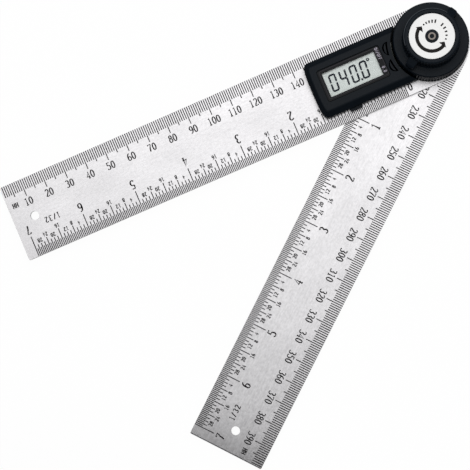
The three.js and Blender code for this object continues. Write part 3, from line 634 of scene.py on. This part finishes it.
def tick_row(rules, edge, first, last, pitch, near, far):
    """A row of graduation lines along x, each from near to far in from the edge at y = edge."""
    count = int(round((last - first) / pitch)) + 1
    middle = edge - math.copysign((near + far) / 2.0, edge)
    rise = rules.ink_height
    bpy.ops.mesh.primitive_cube_add(size=1.0, location=(-first, middle, rise / 2.0))
    tick = named("tick_row")
    tick.scale = (rules.line_width, far - near, rise)
    settle(tick)
    open_edit(tick)
    choose(tick, "faces", lambda centre, normal: normal.z < -0.5)
    bpy.ops.mesh.delete(type="ONLY_FACE")
    close_edit()
    use_modifier(tick, "ARRAY", count=count, use_relative_offset=False,
                 use_constant_offset=True, constant_offset_displace=(-pitch, 0.0, 0.0))
    return tick


def spot(edge, along, foot):
    """Where a figure stands, along the rule and in from its edge."""
    turn = Matrix.Rotation(0.0 if edge > 0.0 else math.pi, 4, "Z")
    return Matrix.Translation((-along, edge - math.copysign(foot, edge), 0.0)) @ turn


INCH = 25.4 * MM
HALF_RULE = 17.5 * MM
RULE_LENGTH = 200.0 * MM
INCH_ZERO = 17.5 * MM


def millimetre_side(rules, edge, labels):
    """Lines and numbers of the millimetre side, which would read 200 at the pivot."""
    parts = []
    for step, near, far in ((1, 0.05, 5.15), (5, 5.15, 6.35), (10, 6.35, 7.9)):
        pitch = step * MM
        parts.append(tick_row(rules, edge, pitch, RULE_LENGTH - pitch, pitch, near * MM, far * MM))
    height, rise = rules.numeral_height, rules.ink_height
    for number in labels:
        place = spot(edge, abs(number - 200) * MM, 12.15 * MM)
        parts += write(str(number), height, (0.58, 0.34), rise, place)
    return parts + write("mm", 2.4 * MM, (0.44, 0.26), rise, spot(edge, 196.3 * MM, 11.25 * MM))


def inch_side(rules, edge):
    """Lines and numbers of the inch side, read from its own edge."""
    rise = rules.ink_height
    thirty_second = INCH / 32.0
    last = INCH_ZERO + 7 * INCH
    parts = []
    lengths = ((1, 0.05, 3.5), (2, 3.5, 5.1), (8, 5.1, 6.6), (16, 6.6, 8.1), (32, 8.1, 9.5))
    for every, near, far in lengths:
        parts.append(tick_row(rules, edge, INCH_ZERO, last, every * thirty_second,
                              near * MM, far * MM))
    tall = rules.inch_numeral_height
    small = rules.small_numeral_height
    parts += write("0", 3.2 * MM, (0.60, 0.34), rise, spot(edge, 15.4 * MM, 4.95 * MM))
    for inch in range(1, 8):
        place = spot(edge, INCH_ZERO + inch * INCH, 14.6 * MM)
        parts += write(str(inch), tall, (0.70, 0.40), rise, place)
    feet = {4: 7.35, 8: 8.85, 12: 7.35, 16: 10.35, 20: 7.35, 24: 8.85, 28: 7.35}
    for inch in range(0, 7):
        for minor, foot in feet.items():
            along = INCH_ZERO + inch * INCH + minor * thirty_second
            place = spot(edge, along, foot * MM)
            parts += write(str(minor), small, (0.43, 0.31), rise, place, 0.66)
    place = spot(edge, 183.0 * MM, 14.9 * MM)
    return parts + write("1/32", 2.6 * MM, (0.50, 0.32), rise, place, 0.72)


class ANGLE_OT_rules(bpy.types.Operator):
    """Model the two steel rules with softened edges, and a painted dark line of shade along the
    lower rule's free end
    """
    bl_idname = "angle.rules"
    bl_label = "Steel rules"

    def execute(self, context):
        rules = context.scene.angle_rules
        for arm, turn in (("upper", 0.0), ("lower", -SWING)):
            steel = finish("brushed_steel_%s_arm" % arm, brushed_steel, rules.steel, turn)
            refine(arm + "_blade", arm + "_arm", "steel_rule", steel, rules.edge_round)
        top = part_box("lower_blade")[1][2]
        # A thin dark strip on the lower rule's free end: painted shade along that edge.
        bpy.ops.mesh.primitive_cube_add(size=1.0, location=(-199.74 * MM, 0.0, top))
        end_shade = named("sheared_end")
        end_shade.scale = (0.42 * MM, 34.2 * MM, 0.02 * MM)
        settle(end_shade)
        soften(end_shade, 0.006 * MM, steps=1)
        end_shade.rotation_euler.z = SWING
        end_shade_dark = finish("sheared_steel", plated, (0.085, 0.083, 0.090), 0.45)
        finish_piece(end_shade, "lower_arm", "steel_rule", end_shade_dark)
        return {"FINISHED"}


class ANGLE_OT_graduations(bpy.types.Operator):
    """Draw the lines and numbers on both rules"""
    bl_idname = "angle.graduations"
    bl_label = "Graduations"

    def execute(self, context):
        rules = context.scene.angle_rules
        for arm, edge, labels, turn in (("upper", HALF_RULE, range(10, 150, 10), 0.0),
                                        ("lower", -HALF_RULE, range(220, 400, 10), SWING)):
            parts = millimetre_side(rules, edge, labels) + inch_side(rules, -edge)
            marks = join(parts, arm + "_graduations")
            marks.location.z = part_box(arm + "_blade")[1][2]
            marks.rotation_euler.z = turn
            black = finish("filled_black", ink, rules.ink)
            finish_piece(marks, arm + "_arm", "steel_rule", black)
        drop_glyphs()
        return {"FINISHED"}


# The case

class ANGLE_OT_case(bpy.types.Operator):
    """Finish the display case and its base"""
    bl_idname = "angle.case"
    bl_label = "Display case"

    def execute(self, context):
        case = context.scene.angle_case
        cover = cad_copy("case_cover", "fine_case_cover")
        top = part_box("case_cover")[1][2]
        bevel_edges(cover, lambda a, b: min(a.z, b.z) > top - 0.01 * MM
                    and (max(abs(a.y), abs(b.y)) > 8.4 * MM or max(a.x, b.x) < -51.4 * MM)
                    and min(a.x, b.x) < -17.5 * MM, case.shoulder, 4)
        soften(cover, case.edge_round, angle=32.0)
        finish_piece(cover, "upper_arm", "case_plastic", case_finish(), "case_cover")
        refine("case_base", "upper_arm", "case_plastic", case_finish(), 0.10 * MM, angle=32.0)
        return {"FINISHED"}


def block(name, low, high):
    """A box between two corners, with its place in its mesh."""
    middle = [(a + b) / 2.0 for a, b in zip(low, high)]
    bpy.ops.mesh.primitive_cube_add(size=1.0, location=middle)
    box = named(name)
    box.scale = [b - a for a, b in zip(low, high)]
    settle(box)
    return box


def pane_block(name, view, inset, low, high):
    """A block over a window's view, smaller by an inset on every side."""
    (left, near), (right, far) = view
    return block(name, (left + inset, near + inset, low), (right - inset, far - inset, high))


WINDOW_VIEW = ((-48.95 * MM, -5.25 * MM), (-24.3 * MM, 5.75 * MM))
WINDOW_HIGHLIGHT = ((-49.85 * MM, -5.95 * MM), (-22.0 * MM, 7.0 * MM))


class ANGLE_OT_window(bpy.types.Operator):
    """Model the window: a dark printed border with a painted highlight line round a clear pane"""
    bl_idname = "angle.window"
    bl_label = "Window"

    def execute(self, context):
        low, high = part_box("display_window")
        top = high[2]
        border = block("window_border", low, (high[0], high[1] - 0.22 * MM, top))
        bevel_edges(border, upright, 0.9 * MM, 5)
        cut_out(border, pane_block("window_opening", WINDOW_VIEW, 0.0, low[2] - MM, top + MM))
        soften(border, 0.10 * MM)
        black = finish("printed_border", window_print, (0.0025, 0.0031, 0.0042))
        finish_piece(border, "upper_arm", "window_plastic", black, "display_window")
        pane = pane_block("window_pane", WINDOW_VIEW, 0.015 * MM, top - 0.5 * MM, top - 0.01 * MM)
        soften(pane, 0.05 * MM)
        clear = finish("clear_window", clear_plastic, (0.05, 0.05, 0.05))
        finish_piece(pane, "upper_arm", "window_plastic", clear)
        # A thin grey ring round the window: a painted highlight along the pocket's edge.
        width = 0.16 * MM
        line = pane_block("window_line", WINDOW_HIGHLIGHT, 0.0, top, top + 0.015 * MM)
        hollow = pane_block("line_hollow", WINDOW_HIGHLIGHT, width, top - MM, top + MM)
        bevel_edges(line, upright, 0.8 * MM, 4)
        bevel_edges(hollow, upright, 0.8 * MM - width, 4)
        cut_out(line, hollow)
        highlight_grey = finish("line_paint", ink, (0.028, 0.026, 0.031))
        finish_piece(line, "upper_arm", "window_plastic", highlight_grey)
        return {"FINISHED"}


class ANGLE_OT_keys(bpy.types.Operator):
    """Finish the two keys and print their marks on the case"""
    bl_idname = "angle.keys"
    bl_label = "Keys"

    def execute(self, context):
        case = context.scene.angle_case
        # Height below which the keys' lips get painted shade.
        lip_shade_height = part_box("power_key")[1][2] - 0.6 * MM
        plastic = finish("key_black", lipped, case.key_plastic, lip_shade_height)
        for key in ("power", "zero"):
            refine(key + "_key", key + "_button", "key_plastic", plastic, 0.16 * MM, angle=32.0)
        turn = Matrix.Rotation(-math.pi / 2, 4, "Z")
        marks = []
        for text, across in (("ON/OFF", 4.05 * MM), ("0.0", -3.2 * MM)):
            place = Matrix.Translation((-23.75 * MM, across, 0.0)) @ turn
            marks += write(text, 1.45 * MM, (0.23, 0.23), 0.02 * MM, place, 0.66)
        drop_glyphs()
        legend = join(marks, "key_legend")
        legend.location.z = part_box("display_window")[1][2]
        paint = finish("legend_paint", ink, case.legend)
        finish_piece(legend, "upper_arm", "window_plastic", paint)
        return {"FINISHED"}


class ANGLE_OT_tray(bpy.types.Operator):
    """Finish the battery tray with its nail tab, and the cell"""
    bl_idname = "angle.tray"
    bl_label = "Battery tray"

    def execute(self, context):
        refine("battery_tray", "battery_drawer", "case_plastic", case_finish(), 0.14 * MM,
               angle=32.0)
        cell = finish("cell_steel", plated, (0.68, 0.68, 0.67), 0.20)
        refine("coin_cell", "battery_drawer", "cell_steel", cell, 0.25 * MM, steps=3)
        return {"FINISHED"}


# The display

def segment_bar(name, length, width, rise):
    """One bar of a digit with pointed ends, along x."""
    bpy.ops.mesh.primitive_cube_add(size=1.0)
    bar = named(name)
    bar.scale = (length, width, rise)
    settle(bar)
    bevel_edges(bar, upright, width * 0.30, 1)
    return bar


SEGMENTS = {"0": "abcdef", "4": "bcfg"}


def display_digit(figure, height, width, bar_width, rise):
    """A seven-bar digit, its foot at y = 0 and centred on x = 0."""
    gap = 0.02 * MM
    half = height / 2.0
    side_x = (width - bar_width) / 2.0
    low = half * 0.5 + bar_width / 4.0 - 0.10 * MM
    flat = segment_bar("flat_bar", width - bar_width - gap, bar_width, rise)
    tall = segment_bar("tall_bar", half - bar_width / 2.0 - 0.28 * MM, bar_width, rise)
    tall.rotation_euler.z = math.radians(90.0)
    settle(tall)
    places = {"a": (flat, 0.0, height - bar_width / 2.0), "g": (flat, 0.0, half),
              "d": (flat, 0.0, bar_width / 2.0), "b": (tall, side_x, height - low),
              "f": (tall, -side_x, height - low), "c": (tall, side_x, low),
              "e": (tall, -side_x, low)}
    bars = []
    for key in SEGMENTS[figure]:
        pattern, x, y = places[key]
        bar = twin(pattern, "bar")
        bar.matrix_world = Matrix.Translation((x, y, 0.0))
        bars.append(bar)
    discard(flat)
    discard(tall)
    digit = join(bars, "digit")
    settle(digit)
    return digit


class ANGLE_OT_display(bpy.types.Operator):
    """Set the display's digits, point and degree mark over its reflective back"""
    bl_idname = "angle.display"
    bl_label = "Display"

    def execute(self, context):
        display = context.scene.angle_display
        back = finish("display_back", display_back, display.glass)
        refine("lcd_panel", "upper_arm", "display_glass", back, 0.08 * MM)
        rise = 0.04 * MM
        lean = math.tan(display.slant)
        foot = -3.7 * MM
        first = -47.30 * MM + display.digit_width / 2.0
        parts = []
        for index, figure in enumerate("0400"):
            digit = display_digit(figure, display.digit_height, display.digit_width,
                                  display.segment_width, rise)
            digit.data.transform(Matrix(((1, lean, 0, 0), (0, 1, 0, 0), (0, 0, 1, 0), (0, 0, 0, 1))))
            digit.location = (first + index * display.digit_pitch, foot, 0.0)
            parts.append(digit)
        bpy.ops.mesh.primitive_cylinder_add(vertices=4, radius=0.58 * MM, depth=rise,
                                            location=(-33.5 * MM, foot + 0.40 * MM, 0.0),
                                            rotation=(0.0, 0.0, math.radians(45.0)))
        parts.append(named("point"))
        bpy.ops.mesh.primitive_torus_add(location=(-28.0 * MM, foot + 7.4 * MM, 0.0),
                                         major_radius=0.50 * MM, minor_radius=0.22 * MM,
                                         major_segments=24, minor_segments=6)
        degree = named("degree")
        degree.scale.z = rise / (0.44 * MM)
        parts.append(degree)
        for part in parts:
            settle(part)
        digits = join(parts, "display_digits")
        digits.location.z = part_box("lcd_panel")[1][2] + 0.10 * MM
        dark = finish("display_segments", ink, display.segments)
        finish_piece(digits, "upper_arm", "display_glass", dark)
        return {"FINISHED"}


# The knob

RING_POINTS = 560


def knob_skin(knob):
    """The knob's flange and boss as one skin, its two rows of ribs pressed in."""
    foot, crown = (corner[2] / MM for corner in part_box("knob_body"))
    rings = (
        (15.4, foot, 0), (16.75, foot, 0), (17.0, foot + 0.25, 1),
        (16.5, 12.9, 1), (16.46, 13.25, 1), (16.40, 13.45, 0), (16.36, 13.6, 0),
        (15.98, 14.12, 0), (15.88, 14.2, 0), (12.75, 14.2, 0), (12.45, 14.3, 0),
        (12.25, 14.55, 0), (12.2, 14.8, 2), (12.2, 22.75, 2), (12.15, 22.96, 2),
        (11.7, 23.02, 0), (11.6, 23.2, 0), (11.35, crown, 0), (10.35, crown, 0),
        (10.0, 23.2, 0), (9.85, 23.0, 0), (9.85, 22.83, 0), (10.2, 22.82, 0), (10.2, 22.62, 0),
    )
    bpy.ops.mesh.primitive_circle_add(vertices=RING_POINTS, radius=rings[0][0] * MM,
                                      location=(0.0, 0.0, rings[0][1] * MM))
    skin = named("knob_skin")
    settle(skin)
    open_edit(skin, "EDGE")
    take_whole()
    for before, after in zip(rings, rings[1:]):
        pull_up((after[1] - before[1]) * MM)
        grow = after[0] / before[0]
        bpy.ops.transform.resize(value=(grow, grow, 1.0), center_override=(0.0, 0.0, 0.0))
    bpy.ops.mesh.edge_face_add()
    close_edit()
    ribs = {1: (knob.flange_ribs, knob.rib_depth), 2: (knob.boss_ribs, knob.rib_depth * 0.85)}
    for vertex in skin.data.vertices:
        x, y, z = vertex.co
        radius = math.hypot(x, y)
        row = min(rings, key=lambda ring: abs(ring[1] * MM - z) + abs(ring[0] * MM - radius))[2]
        if row:
            count, depth = ribs[row]
            wave = 0.5 - 0.5 * math.cos(math.atan2(y, x) * count)
            left = 1.0 - depth * wave ** 0.6 / radius
            vertex.co.xy = x * left, y * left
    return skin


def knob_wing(knob, turn, index):
    """One wing: a block from the boss to the flange's rim that slopes down outwards."""
    root, tip = 11.4 * MM, 15.9 * MM
    low, root_top, tip_top = 14.0 * MM, 20.8 * MM, 18.7 * MM
    bpy.ops.mesh.primitive_cube_add(size=1.0, location=((root + tip) / 2.0, 0.0, low + 0.5 * MM))
    wing = named("knob_wing_%d" % index)
    wing.scale = (tip - root, knob.wing_width, MM)
    settle(wing)
    open_edit(wing, "VERT")
    for near, height in ((True, root_top), (False, tip_top)):
        choose(wing, "verts", lambda co: co.z > low + 0.5 * MM
               and (co.x < (root + tip) / 2.0) == near)
        bpy.ops.transform.translate(value=(0.0, 0.0, height - (low + MM)))
    close_edit()
    bevel_edges(wing, lambda a, b: abs(a.x - b.x) < 1e-6 and a.x > root + MM, 1.3 * MM, 5)
    soften(wing, 0.45 * MM, 3, 38.0)
    wing.rotation_euler.z = math.radians(turn)
    settle(wing)
    return wing


class ANGLE_OT_knob(bpy.types.Operator):
    """Model the knob's ribbed flange and boss with its two wings, and a painted highlight on the
    boss's rim
    """
    bl_idname = "angle.knob"
    bl_label = "Clamping knob"

    def execute(self, context):
        knob = context.scene.angle_knob
        skin = knob_skin(knob)
        wings = [knob_wing(knob, 28.5, 1), knob_wing(knob, 208.5, 2)]
        shade(skin, 50.0)
        body = join([skin] + wings, "knob_grip")
        black = finish("knob_black", moulded, knob.plastic, 0.40, 2200.0)
        finish_piece(body, "lock_knob", "knob_plastic", black, "knob_body")
        # Painted highlight: a lighter band on the boss's rim, only from 34° to 176°, the side
        # towards the lamp.
        line = label_band(11.80 * MM, 12.06 * MM, 34.0, 176.0, 60, 0.03 * MM)
        line.name = "boss_line"
        line.location.z = 23.04 * MM
        rim_highlight = finish("knob_edge", moulded, knob.edge, 0.35, 1500.0)
        finish_piece(line, "lock_knob", "knob_plastic", rim_highlight)
        return {"FINISHED"}


def spoke(radius, at):
    """A point at a radius from the pivot axis and an angle in degrees."""
    return radius * math.cos(math.radians(at)), radius * math.sin(math.radians(at))


def label_band(inner, outer, start, end, steps, rise):
    """A thin flat band, spun round the pivot axis."""
    bpy.ops.mesh.primitive_plane_add(size=1.0)
    band = named("label_band")
    open_edit(band, "VERT")
    take_whole()
    bpy.ops.mesh.delete(type="VERT")
    shape = bmesh.from_edit_mesh(band.data)
    shape.edges.new([shape.verts.new((*spoke(r, start), 0.0)) for r in (inner, outer)])
    bmesh.update_edit_mesh(band.data)
    take_whole()
    bpy.ops.mesh.spin(steps=steps, angle=math.radians(start - end), center=(0.0, 0.0, 0.0),
                      axis=(0.0, 0.0, 1.0))
    take_whole()
    bpy.ops.mesh.remove_doubles(threshold=0.001 * MM)
    face_out()
    pull_up(rise)
    face_out()
    close_edit()
    return band


def arrow_head(corners, rise):
    """A flat printed triangle through corners given as radius and angle in degrees."""
    bpy.ops.mesh.primitive_cylinder_add(vertices=3, radius=MM, depth=rise,
                                        location=(0.0, 0.0, rise / 2.0))
    head = named("arrow_head")
    settle(head)
    around = sorted(head.data.vertices, key=lambda v: (round(math.atan2(v.co.x, v.co.y), 3), v.co.z))
    for index, (radius, at) in enumerate(corners):
        for vertex in around[2 * index:2 * index + 2]:
            vertex.co.xy = spoke(radius * MM, at)
    open_edit(head)
    face_out()
    close_edit()
    return head


class ANGLE_OT_label(bpy.types.Operator):
    """Model the round label with its turning arrow and plain marks"""
    bl_idname = "angle.label"
    bl_label = "Knob label"

    def execute(self, context):
        knob = context.scene.angle_knob
        paint = finish("label_silver", label_paint, knob.label)
        refine("knob_label", "lock_knob", "label_plate", paint, 0.06 * MM)
        rise = 0.03 * MM
        parts = [label_band(5.66 * MM, 7.16 * MM, 126.5, 298.0, 40, rise),
                 arrow_head(((6.0, 112.0), (7.9, 127.4), (4.15, 132.8)), rise),
                 arrow_head(((5.85, 312.6), (4.0, 293.6), (7.85, 297.0)), rise)]
        for start, step, sizes in ((51.0, 12.0, (5, 4, 3, 2, 1)), (-38.5, 15.2, (1, 2, 3, 4, 5))):
            for index, size in enumerate(sizes):
                reach = (0.5 + 0.22 * size) * MM
                at = start + index * step
                parts.append(label_band(5.7 * MM, 5.7 * MM + reach, at, at + 5.8, 3, rise))
        marks = join(parts, "label_marks")
        marks.location.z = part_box("knob_label")[1][2]
        black = finish("label_black", ink, knob.arrow)
        finish_piece(marks, "lock_knob", "label_plate", black)
        return {"FINISHED"}


class ANGLE_OT_pivot(bpy.types.Operator):
    """Finish the washer and the small screw in the middle of the label"""
    bl_idname = "angle.pivot"
    bl_label = "Pivot screw"

    def execute(self, context):
        black = finish("black_oxide", plated, (0.022, 0.022, 0.024), 0.42)
        refine("stop_washer", "lower_arm", "plated_steel", black, 0.10 * MM)
        bronzed = finish("bronzed_steel", plated, (0.105, 0.094, 0.085), 0.34)
        refine("knob_screw", "lower_arm", "plated_steel", bronzed, 0.16 * MM, steps=3)
        return {"FINISHED"}


class ANGLE_OT_back(bpy.types.Operator):
    """Finish the back cap, the bolt and the screws"""
    bl_idname = "angle.back"
    bl_label = "Back"

    def execute(self, context):
        refine("back_cap", "lower_arm", "case_plastic", case_finish(), 0.14 * MM)
        refine("pivot_bolt", "lower_arm", "plated_steel", screw_finish(), 0.12 * MM)
        for kind, body, last in (("hub", "lower_arm", 3), ("case", "upper_arm", 4)):
            for index in range(1, last + 1):
                refine("%s_screw_%d" % (kind, index), body, "plated_steel", screw_finish(),
                       0.06 * MM)
        return {"FINISHED"}


class ANGLE_OT_inside(bpy.types.Operator):
    """Give the pieces inside the case and the knob their finishes"""
    bl_idname = "angle.inside"
    bl_label = "Inside"

    def execute(self, context):
        dressed = (
            (finish("turned_brass", turned_brass, (0.72, 0.50, 0.22)),
             ("bearing_bush", "knob_insert")),
            (finish("black_rubber", soft_rubber, (0.012, 0.012, 0.013)),
             ("brake_ring", "zebra_strip")),
            (finish("green_laminate", board, (0.006, 0.018, 0.010)),
             ("circuit_board", "encoder_rotor")),
            (finish("chip_resin", moulded, (0.012, 0.012, 0.013), 0.5, 2400.0),
             ("controller_chip",)),
            (screw_finish(), ("power_switch", "zero_switch", "battery_contact_positive",
                              "battery_contact_negative", "release_spring")),
            (finish("white_nylon", nylon, (0.62, 0.61, 0.57)),
             ("rotor_retainer", "rotor_hub", "blade_washer")),
        )
        for material, nodes in dressed:
            for node in nodes:
                dress(node, material)
        return {"FINISHED"}


# The stage

def add_softbox(power):
    """A large lamp high beside the upper rule that looks down at the part."""
    place = Vector((0.060, 0.225, 0.90))
    bpy.ops.object.light_add(type="AREA", location=place)
    lamp = bpy.context.active_object
    lamp.name = "softbox"
    lamp.data.shape = "RECTANGLE"
    lamp.data.size = 1.1
    lamp.data.size_y = 0.8
    lamp.data.energy = power
    aim = Vector((-0.08, -0.10, 0.0)) - place
    lamp.rotation_euler = aim.to_track_quat("-Z", "Y").to_euler()


def ray_kind(tree, kind):
    return wire(tree, "LightPath", kind, {})


def make_floor(stage):
    """A pale floor just under the part, clear when it is seen from below."""
    bpy.ops.mesh.primitive_circle_add(vertices=96, radius=4.0, fill_type="NGON",
                                      location=(0.0, 0.0, -0.05 * MM))
    floor = named("pale_floor")
    shader = Shader("pale_floor", stage.floor, 0.9, specular=0.1)
    tree = shader.tree
    seen = ray_kind(tree, "Is Camera Ray")
    shader.tint(seen, [c * stage.bounce for c in stage.floor], stage.floor)
    glow = wire(tree, "Emission", "Emission", {"Strength": 1.0})
    lit = wire(tree, "MixShader", "Shader", {
        0: remap(tree, seen, 0.22, 0.97), 1: shader.surface.outputs["BSDF"], 2: glow})
    both = wire(tree, "MixShader", "Shader", {
        0: wire(tree, "NewGeometry", "Backfacing", {}), 1: lit,
        2: wire(tree, "BsdfTransparent", "BSDF", {})})
    tree.links.new(both, tree.nodes["Material Output"].inputs["Surface"])
    floor.data.materials.append(shader.material)


def add_flag():
    """A black card past the lower arm's end, seen only as a reflection in the steel."""
    start, length, width, height = 0.206, 0.16, 0.24, 0.09
    bpy.ops.mesh.primitive_plane_add(size=1.0)
    flag = named("black_flag")
    flag.matrix_world = (Matrix.Rotation(SWING, 4, "Z")
                         @ Matrix.Translation((-start - length / 2.0, 0.0, height))
                         @ Matrix.Diagonal((length, width, 1.0, 1.0)))
    flag.visible_camera = False
    flag.visible_diffuse = False
    flag.visible_transmission = False
    card = Shader("black_flag", (0.0, 0.0, 0.0), 0.5, specular=0.0)
    flag.data.materials.append(card.material)


def make_world(stage):
    """Even light from all round, a graded sky for reflections and white for the camera."""
    world = bpy.data.worlds.new("studio")
    bpy.context.scene.world = world
    world.use_nodes = True
    tree = world.node_tree
    sky = tree.nodes["Background"]
    sky.inputs["Color"].default_value = (1.0, 1.0, 1.0, 1.0)
    place = wire(tree, "TexCoord", "Generated", {})
    height = wire(tree, "SeparateXYZ", "Z", {"Vector": place})
    soft = remap(tree, height, stage.sky * 0.25, stage.sky, 0.0, 0.8)
    mirrored = remap(tree, height, 0.20, 1.0, 0.40, 0.90)
    strength = remap(tree, ray_kind(tree, "Is Glossy Ray"), soft, mirrored)
    strength = remap(tree, ray_kind(tree, "Is Camera Ray"), strength, 1.0)
    tree.links.new(strength, sky.inputs["Strength"])


# Where the photograph was taken from, in the part's frame: turns in radians, places in mm
CAMERA_TURN = (-0.029, -0.077)
CAMERA_SHIFT_MM = (87.395, 99.087, -686.581)
PART_TURN = math.radians(23.1)
RULE_TOP_MM = 4.8
PICTURE_CENTRE = (230.13, 269.80)
PICTURE_SIZE = 470.0


def make_camera(stage):
    data = bpy.data.cameras.new("camera")
    camera = new_object("camera", data)
    world_to_camera = (Matrix.Translation(Vector(CAMERA_SHIFT_MM) * MM)
                       @ Matrix.Rotation(CAMERA_TURN[0], 4, "X")
                       @ Matrix.Rotation(CAMERA_TURN[1], 4, "Y")
                       @ Matrix.Translation((0.0, 0.0, -RULE_TOP_MM * MM))
                       @ Matrix.Rotation(PART_TURN, 4, "Z"))
    camera.matrix_world = world_to_camera.inverted()
    data.sensor_width = 36.0
    data.lens = stage.lens
    data.shift_x = (PICTURE_SIZE / 2.0 - PICTURE_CENTRE[0]) / PICTURE_SIZE
    data.shift_y = (PICTURE_CENTRE[1] - PICTURE_SIZE / 2.0) / PICTURE_SIZE
    data.clip_start = 0.01
    data.clip_end = 20.0
    data.dof.use_dof = False
    bpy.context.scene.camera = camera


class ANGLE_OT_stage(bpy.types.Operator):
    """Set the pale floor, the soft light and the camera"""
    bl_idname = "angle.stage"
    bl_label = "Floor, light and camera"

    def execute(self, context):
        stage = context.scene.angle_stage
        make_floor(stage)
        add_flag()
        make_world(stage)
        make_camera(stage)
        add_softbox(stage.lamp_power)
        context.scene.view_settings.view_transform = "Standard"
        return {"FINISHED"}


OPERATORS = (
    ANGLE_OT_rules,
    ANGLE_OT_graduations,
    ANGLE_OT_case,
    ANGLE_OT_window,
    ANGLE_OT_keys,
    ANGLE_OT_tray,
    ANGLE_OT_display,
    ANGLE_OT_knob,
    ANGLE_OT_label,
    ANGLE_OT_pivot,
    ANGLE_OT_back,
    ANGLE_OT_inside,
    ANGLE_OT_stage,
)


class ANGLE_PT_pieces(bpy.types.Panel):
    """Lists the pieces and the stage"""
    bl_idname = "ANGLE_PT_pieces"
    bl_label = "Angle finder"
    bl_space_type = "VIEW_3D"
    bl_region_type = "UI"
    bl_category = "Angle finder"

    def draw(self, context):
        for operator in OPERATORS:
            self.layout.operator(operator.bl_idname)
        for group, kind in SETTINGS.items():
            box = self.layout.box()
            box.label(text=kind.__doc__)
            for key in kind.__annotations__:
                box.prop(getattr(context.scene, group), key)


def register():
    for group, kind in SETTINGS.items():
        bpy.utils.register_class(kind)
        setattr(bpy.types.Scene, group, PointerProperty(type=kind))
    for kind in OPERATORS + (ANGLE_PT_pieces,):
        bpy.utils.register_class(kind)


def unregister():
    for kind in reversed(OPERATORS + (ANGLE_PT_pieces,)):
        bpy.utils.unregister_class(kind)
    for group, kind in SETTINGS.items():
        delattr(bpy.types.Scene, group)
        bpy.utils.unregister_class(kind)


def corners(box):
    return [list(corner) for corner in box]


def main():
    register()
    for operator in OPERATORS:
        group, name = operator.bl_idname.split(".")
        deselect()
        getattr(getattr(bpy.ops, group), name)()
    bpy.context.view_layer.update()


if __name__ == "__main__":
    main()
